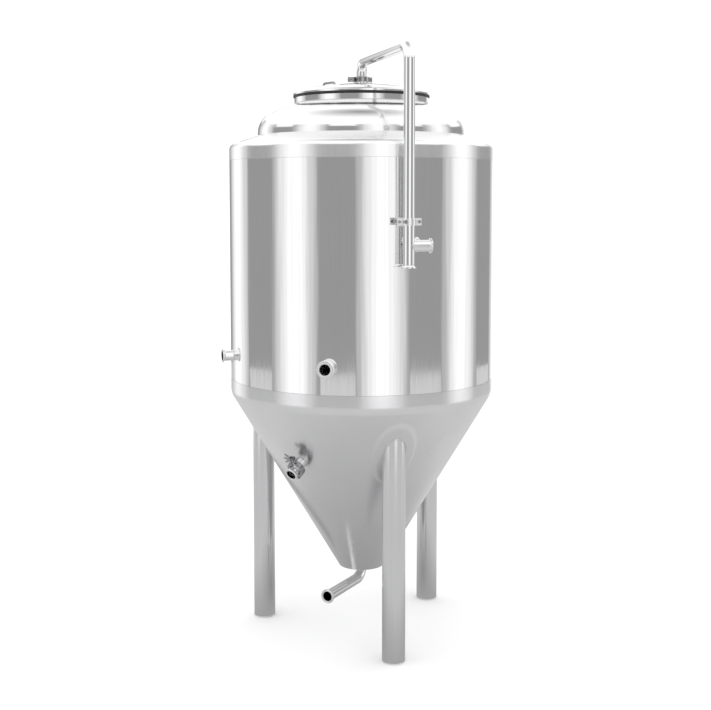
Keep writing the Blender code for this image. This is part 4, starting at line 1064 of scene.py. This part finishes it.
def add_lid():
    middle, crown = dish_circle()
    upright = math.pi / 2

    def dish(radius, edge):
        return arc((0, middle), radius, upright - math.asin(TUBE_BORE / radius),
                   upright - math.asin(edge / radius), 10)
    seat = span("manway_lid")[2]
    rim = GASKET_RADIUS
    edge = rounded([
        (LID_DISH_RADIUS - 0.010, LID_DISH_EDGE + 0.002), (LID_DISH_RADIUS, LID_DISH_EDGE, 0.012),
        (rim - 0.004, LID_DISH_EDGE - LID_SHOULDER, 0.004), (rim, LID_DISH_EDGE - LID_RIM_DROP, 0.003),
        (rim, seat, 0.0008), (MANWAY_CLEAR_RADIUS, seat, 0.001),
        (LID_DISH_RADIUS - 0.012, LID_DISH_EDGE - 0.001)], 6)
    top = [point for point in dish(crown, LID_DISH_RADIUS) if point[0] < edge[0][0] - 0.002]
    under = [point for point in dish(crown - LID_SHEET, LID_DISH_RADIUS)
             if point[0] < LID_DISH_RADIUS - 0.014]
    outline = top + edge[1:] + under[::-1]
    add("lid_skin", turned(outline, SHELL_STEPS), "lid", LID_POLISH, ["manway_lid"])

    face = TOP_CLAMP_HEIGHT - SEAL_HALF
    foot = middle + math.sqrt(crown ** 2 - TUBE_BORE ** 2) + CLEARANCE
    add("lid_clamp_end", turned(ferrule_outline(face - foot)), "lid", FERRULE,
        ["lid_ferrule"], shift(0, 0, face))
    weld_ring("lid_clamp_end_weld", TUBE_RADIUS + 0.0008, foot, 120, LID_WELD, "lid")
    return middle, crown


def add_handle(middle, crown):
    """A bent rod handle, in line with the lid's radius, and the welds at its feet."""
    top = LID_CROWN + HANDLE_RISE
    place = Matrix.Rotation(HANDLE_AZIMUTH, 4, "Z")

    def surface(radius):
        return middle + math.sqrt(crown ** 2 - radius ** 2) + CLEARANCE
    corners = [(0, -HANDLE_NEAR, surface(HANDLE_NEAR - HANDLE_ROD)), (0, -HANDLE_NEAR, top),
               (0, -HANDLE_FAR, top), (0, -HANDLE_FAR, surface(HANDLE_FAR - HANDLE_ROD))]
    mesh = swept(filleted(corners, HANDLE_BEND, 8), (1, 0, 0), HANDLE_ROD, sides=24)
    add("lid_grab_handle", mesh, "lid", CAST, ["lid_handle"], place)
    for name, reach in (("near", HANDLE_NEAR), ("far", HANDLE_FAR)):
        spot = place @ shift(0, -reach, surface(reach))
        weld_ring("handle_weld_" + name, HANDLE_ROD, 0, 60, HANDLE_WELD, "lid", spot)


def add_arm():
    """Blow-off arm: up from the lid, out over the shoulder and down beside the jacket."""
    start = TOP_CLAMP_HEIGHT + SEAL_HALF + FERRULE_LENGTH + CLEARANCE
    end = ARM_BOTTOM + FERRULE_LENGTH + CLEARANCE
    path = filleted([(0, 0, start), (0, 0, ARM_HEIGHT), (0, -ARM_REACH, ARM_HEIGHT),
                     (0, -ARM_REACH, end)], ARM_BEND, 16)
    hole = rod(TUBE_BORE - 0.001, *[(x, -ARM_REACH, BRANCH_HEIGHT) for x in BRANCH_CUT])
    add("blow_off_arm", swept(path, (1, 0, 0), TUBE_RADIUS, TUBE_BORE, cutter=hole), "lid",
        PIPE_POLISH, ["blow_off_pipe"])

    over = Matrix.Rotation(math.pi, 4, "X")
    up = shift(0, 0, TOP_CLAMP_HEIGHT + SEAL_HALF) @ over
    down = shift(0, -ARM_REACH, ARM_BOTTOM) @ over
    for name, node, place in (("arm_top_clamp_end", "arm_top_ferrule", up),
                              ("arm_bottom_clamp_end", "arm_bottom_ferrule", down)):
        add(name, turned(ferrule_outline(FERRULE_LENGTH)), "lid", FERRULE, [node], place)
        weld_ring(name + "_weld", TUBE_RADIUS - 0.0002, -FERRULE_LENGTH, 120, TUBE_WELD, "lid",
                  place)

    # the elbows' polished welds, where each bend starts and ends
    level = Matrix.Rotation(math.pi / 2, 4, "X")
    spots = {
        "inner_low": shift(0, 0, ARM_HEIGHT - ARM_BEND),
        "inner_high": shift(0, -ARM_BEND, ARM_HEIGHT) @ level,
        "outer_high": shift(0, ARM_BEND - ARM_REACH, ARM_HEIGHT) @ level,
        "outer_low": shift(0, -ARM_REACH, ARM_HEIGHT - ARM_BEND),
    }
    for name, spot in spots.items():
        weld_ring("arm_weld_" + name, TUBE_RADIUS - 0.0004, 0, 120, TUBE_WELD, "lid",
                  spot)

    place = shift(BRANCH_REACH, -ARM_REACH, BRANCH_HEIGHT) @ Matrix.Rotation(math.pi / 2, 4, "Y")
    saddle = rod(TUBE_RADIUS + CLEARANCE, (SADDLE_CUT, 0, -BRANCH_REACH),
                 (-SADDLE_CUT, 0, -BRANCH_REACH), 96)
    outline = ferrule_outline(BRANCH_REACH - BRANCH_FOOT)
    add("arm_side_branch", turned(outline, FITTING_STEPS, [saddle]), "lid", FERRULE,
        ["arm_branch"], place)
    joint = []
    size = TUBE_RADIUS * 0.97
    for across, ahead in turns(180):
        x, y = size * across, size * ahead
        joint.append(Vector((x, y, math.sqrt(TUBE_RADIUS ** 2 - y ** 2) - BRANCH_REACH + 0.0006)))
    weld("arm_branch_weld", joint, CAP_WELD, "lid", place)


def support_half(side):
    """One half of the clip round the origin: side is -1 for the front half, 1 for the rear."""
    inner = TUBE_RADIUS + CLEARANCE
    outer = inner + SUPPORT_WALL
    high = SUPPORT_HALF_HEIGHT
    room = 2 * EAR_OUTER
    ring = spun([(inner, high), (outer, high), (outer, -high), (inner, -high)], 96)
    keep = sorted((side * SUPPORT_SPLIT, side * room))
    half = boolean(ring, block((-room, keep[0], -room), (room, keep[1], room)), "INTERSECT")
    for way in (-1, 1):
        across = sorted((way * EAR_INNER, way * EAR_OUTER))
        depth = sorted((side * SUPPORT_SPLIT, side * (SUPPORT_SPLIT + SUPPORT_WALL)))
        half = boolean(half, block((across[0], depth[0], -high), (across[1], depth[1], high)), "UNION")
    if side < 0:
        return half
    reach = ARM_REACH - JACKET_RADIUS - TONGUE_GAP
    tongue = block((-TONGUE_HALF, outer - SUPPORT_WALL / 2, -high), (TONGUE_HALF, reach, high))
    return boolean(half, tongue, "UNION")


def add_support():
    """The two-part clip on the blow-off pipe with its fasteners, and its pocket on the jacket."""
    place = shift(0, -ARM_REACH, SUPPORT_HEIGHT)
    for name, side in (("front", -1), ("rear", 1)):
        add("arm_clip_" + name, support_half(side), "lid", BRACKET,
            ["pipe_support_" + name], place, 0.0006)

    tip = -TUBE_RADIUS - 2 * CLEARANCE
    seat = tip - SUPPORT_WALL
    screw = boolean(rod(SET_SCREW_HEAD, (0, seat - SET_SCREW_HEIGHT, 0), (0, seat, 0), 48),
                    rod(SUPPORT_SHANK, (0, seat - SUPPORT_WALL / 4, 0), (0, tip, 0)), "UNION")
    socket = rod(SET_SCREW_SOCKET, (0, seat - 2 * SET_SCREW_HEIGHT, 0), (0, seat - SUPPORT_WALL / 3, 0), 6)
    add("arm_clip_set_screw", boolean(screw, socket, "DIFFERENCE"), "lid", CAST,
        ["support_set_screw"], place @ Matrix.Rotation(SET_SCREW_TURN, 4, "Z"), 0.0005)

    face = SUPPORT_SPLIT + SUPPORT_WALL + CLEARANCE
    for name, way in (("left", -1), ("right", 1)):
        spot = place @ shift(way * EAR_BOLT, 0, 0)
        shank = rod(SUPPORT_SHANK, (0, -face - SUPPORT_WALL / 4, 0), (0, face + SUPPORT_BOLT_END, 0))
        head = rod(SUPPORT_HEAD, (0, -face - SUPPORT_HEAD_HEIGHT, 0), (0, -face, 0), 6)
        add("arm_clip_bolt_" + name, boolean(head, shank, "UNION"), "lid", CAST,
            ["support_bolt_" + name], spot, 0.0004)
        bore = rod(SUPPORT_SHANK + CLEARANCE, (0, 0, 0), (0, face + 2 * SUPPORT_NUT_HEIGHT, 0))
        nut = rod(SUPPORT_NUT, (0, face, 0), (0, face + SUPPORT_NUT_HEIGHT, 0), 6)
        add("arm_clip_nut_" + name, boolean(nut, bore, "DIFFERENCE"), "lid", CAST,
            ["support_nut_" + name], spot, 0.0004)

    low, high = span("support_bracket")[2], span("support_bracket")[3]
    back = -JACKET_RADIUS - CLEARANCE
    inside, front = back - POCKET_WALL, back - POCKET_DEPTH
    outline = [(-POCKET_HALF, back), (POCKET_HALF, back), (POCKET_HALF, front), (POCKET_MOUTH, front),
               (POCKET_MOUTH, inside), (-POCKET_MOUTH, inside), (-POCKET_MOUTH, front),
               (-POCKET_HALF, front)]
    floor_half = POCKET_HALF - CLEARANCE
    floor = block((-floor_half, front, low), (floor_half, back, low + POCKET_WALL))
    add("arm_clip_pocket", boolean(extruded(outline, low, high), floor, "UNION"), "tank",
        BRACKET, ["support_bracket"], edge=0.0008)


# ---- what stays as the CAD has it ---------------------------------------------------------
def dress_cad_nodes():
    finishes = {"cooling_jacket": INNER, "side_insulation": FOAM, "cone_insulation": FOAM,
                "spray_ball": PIPE_POLISH, "cone_port_seal": SILICONE, "top_clamp_seal": SILICONE}
    for name, finish in finishes.items():
        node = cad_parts[name]
        node.data.materials.clear()
        node.data.materials.append(finish)


# ---- studio -------------------------------------------------------------------------------
CAMERA_AZIMUTH = math.radians(-16.9)
CAMERA_DISTANCE = 4.2616
CAMERA_HEIGHT = 1.5998
CAMERA_PITCH = math.radians(4.5)
CAMERA_LENS = 58.75
SENSOR_WIDTH = 36.0
CAMERA_SHIFT = (-0.0084, -0.0944)

# equal soft boxes standing evenly round the tank in a grey room, seen only in reflections
BOX_COUNT = 5
BOX_WIDTH = 44.0
BOX_BRIGHTNESS = 1.2
BOX_REACH = 3.6
BOX_HEIGHT = 3.0
ROOM_REACH = 7.0
ROOM_HEIGHT = 7.0
ROOM_BRIGHTNESS = 0.35
CEILING_BRIGHTNESS = 1.2
FLOOR_BRIGHTNESS = 0.7
# the floor seen in reflections is painted darker in towards the tank's axis: a painted shadow of the tank
PAINTED_SHADOW_UNDER_TANK = 0.35
PAINTED_SHADOW_LIFT = 0.006
FLOOR_RADIUS = 90.0
SKY_BRIGHTNESS = 1.25


def glow(name, low, high):
    """Light of the brightness stored on the mesh, from low to high times it in upright folds."""
    made = bpy.data.materials.new(name)
    made.use_nodes = True
    nodes, links = made.node_tree.nodes, made.node_tree.links
    nodes.clear()
    stored = nodes.new("ShaderNodeAttribute")
    stored.attribute_name = "brightness"
    folds = ranged(nodes, links, noise(nodes, links, (1, 1, 0), 7.0, 4.0), low, high)
    shine = nodes.new("ShaderNodeEmission")
    out = nodes.new("ShaderNodeOutputMaterial")
    links.new(maths(nodes, links, "MULTIPLY", stored.outputs["Fac"], folds), shine.inputs["Strength"])
    links.new(shine.outputs["Emission"], out.inputs["Surface"])
    made.cycles.emission_sampling = "NONE"
    return made


def add_card(name, rings, finish, start=-180.0, width=360.0, sides=None):
    """A turned piece of studio, seen only in reflections; rings are (radius, height, brightness).

    The brightness runs out to that of sides at both ends, where sides is given.
    """
    work = bmesh.new()
    layer = work.verts.layers.float.new("brightness")
    count = max(4, round(width))
    made = []
    for radius, height, bright in rings:
        ring = []
        for step in range(count + 1):
            angle = math.radians(start + width * step / count)
            vert = work.verts.new((radius * math.sin(angle), -radius * math.cos(angle), height))
            vert[layer] = bright
            if sides is not None:
                vert[layer] = sides + (bright - sides) * math.sin(math.pi * step / count)
            ring.append(vert)
        made.append(ring)
    for near, far in zip(made, made[1:]):
        for step in range(count):
            work.faces.new((near[step], near[step + 1], far[step + 1], far[step]))
    mesh = to_mesh(work)
    mesh.materials.append(finish)
    item = placed(name, mesh)
    item.location = AXIS
    item.visible_camera = False
    item.visible_diffuse = False
    item.visible_transmission = False
    item.visible_shadow = False


def add_studio():
    """A white floor and sky for the camera, and inside them the room seen in reflections, whose floor has
    a painted shadow under the tank.
    """
    lamp = glow("studio_soft_boxes", 0.9, 1.1)
    board = glow("studio_boards", 0.98, 1.02)
    walls = BOX_HEIGHT + 0.2
    room = [(ROOM_REACH, 0.01, ROOM_BRIGHTNESS), (ROOM_REACH, walls, ROOM_BRIGHTNESS),
            (ROOM_REACH, walls + 0.1, CEILING_BRIGHTNESS), (ROOM_REACH, ROOM_HEIGHT, CEILING_BRIGHTNESS),
            (BOX_REACH, ROOM_HEIGHT, CEILING_BRIGHTNESS), (0.001, ROOM_HEIGHT, ROOM_BRIGHTNESS)]
    add_card("studio_room", room, board)
    box = [(BOX_REACH, -0.4, BOX_BRIGHTNESS), (BOX_REACH, BOX_HEIGHT, BOX_BRIGHTNESS)]
    for index in range(BOX_COUNT):
        left = 360.0 * index / BOX_COUNT - BOX_WIDTH / 2
        add_card(f"studio_soft_box_{index}", box, lamp, left, BOX_WIDTH, ROOM_BRIGHTNESS)
    # painted shadow: this floor card, seen only in reflections, darkens from a metre out in to the tank's
    # axis, standing in for the tank's own shade on the floor
    shade = [(0.001, PAINTED_SHADOW_LIFT, PAINTED_SHADOW_UNDER_TANK), (1.0, PAINTED_SHADOW_LIFT, FLOOR_BRIGHTNESS),
             (ROOM_REACH, PAINTED_SHADOW_LIFT, FLOOR_BRIGHTNESS)]
    add_card("studio_floor_painted_shadow", shade, board)

    work = bmesh.new()
    bmesh.ops.create_circle(work, cap_ends=True, segments=128, radius=FLOOR_RADIUS)
    floor = placed("studio_floor", to_mesh(work))
    paint = plain("studio_floor_paint", (0.985, 0.985, 0.985), 0.9, 4.0, 0.02, 0.00001, 0.995, 0.0)
    floor.data.materials.append(paint)

    world = bpy.data.worlds.new("studio_sky")
    bpy.context.scene.world = world
    world.use_nodes = True
    sky = world.node_tree.nodes["Background"]
    sky.inputs["Color"].default_value = (1.0, 1.0, 1.0, 1.0)
    sky.inputs["Strength"].default_value = SKY_BRIGHTNESS
    bpy.context.scene.view_settings.view_transform = "Standard"


def add_camera():
    camera = bpy.data.cameras.new("camera")
    camera.lens = CAMERA_LENS
    camera.sensor_width = SENSOR_WIDTH
    camera.shift_x, camera.shift_y = CAMERA_SHIFT
    item = placed("camera", camera)
    item.location = AXIS + Vector((math.sin(CAMERA_AZIMUTH) * CAMERA_DISTANCE,
                                   -math.cos(CAMERA_AZIMUTH) * CAMERA_DISTANCE, CAMERA_HEIGHT))
    item.rotation_euler = (math.pi / 2 - CAMERA_PITCH, 0, CAMERA_AZIMUTH)
    bpy.context.scene.camera = item


add_shells()
add_manway()
add_legs()
add_port("front_port_union", "front_port", PORT_AZIMUTH, PORT_REACH, PORT_HEIGHT, VESSEL_RADIUS,
         union_outline, UNION)
add_port("coolant_inlet_ferrule", "glycol_inlet", GLYCOL_IN_AZIMUTH, GLYCOL_REACH, PORT_HEIGHT,
         COOLING_RADIUS)
add_port("coolant_outlet_ferrule", "glycol_outlet", GLYCOL_OUT_AZIMUTH, GLYCOL_REACH,
         GLYCOL_OUT_HEIGHT, COOLING_RADIUS)
add_clamp("cone_clamp", "tank", add_cone_port())
add_outlet()
lid_middle, lid_dish = add_lid()
add_handle(lid_middle, lid_dish)
add_clamp("top_clamp", "lid", shift(0, 0, TOP_CLAMP_HEIGHT))
add_arm()
add_support()
dress_cad_nodes()
add_studio()
add_camera()
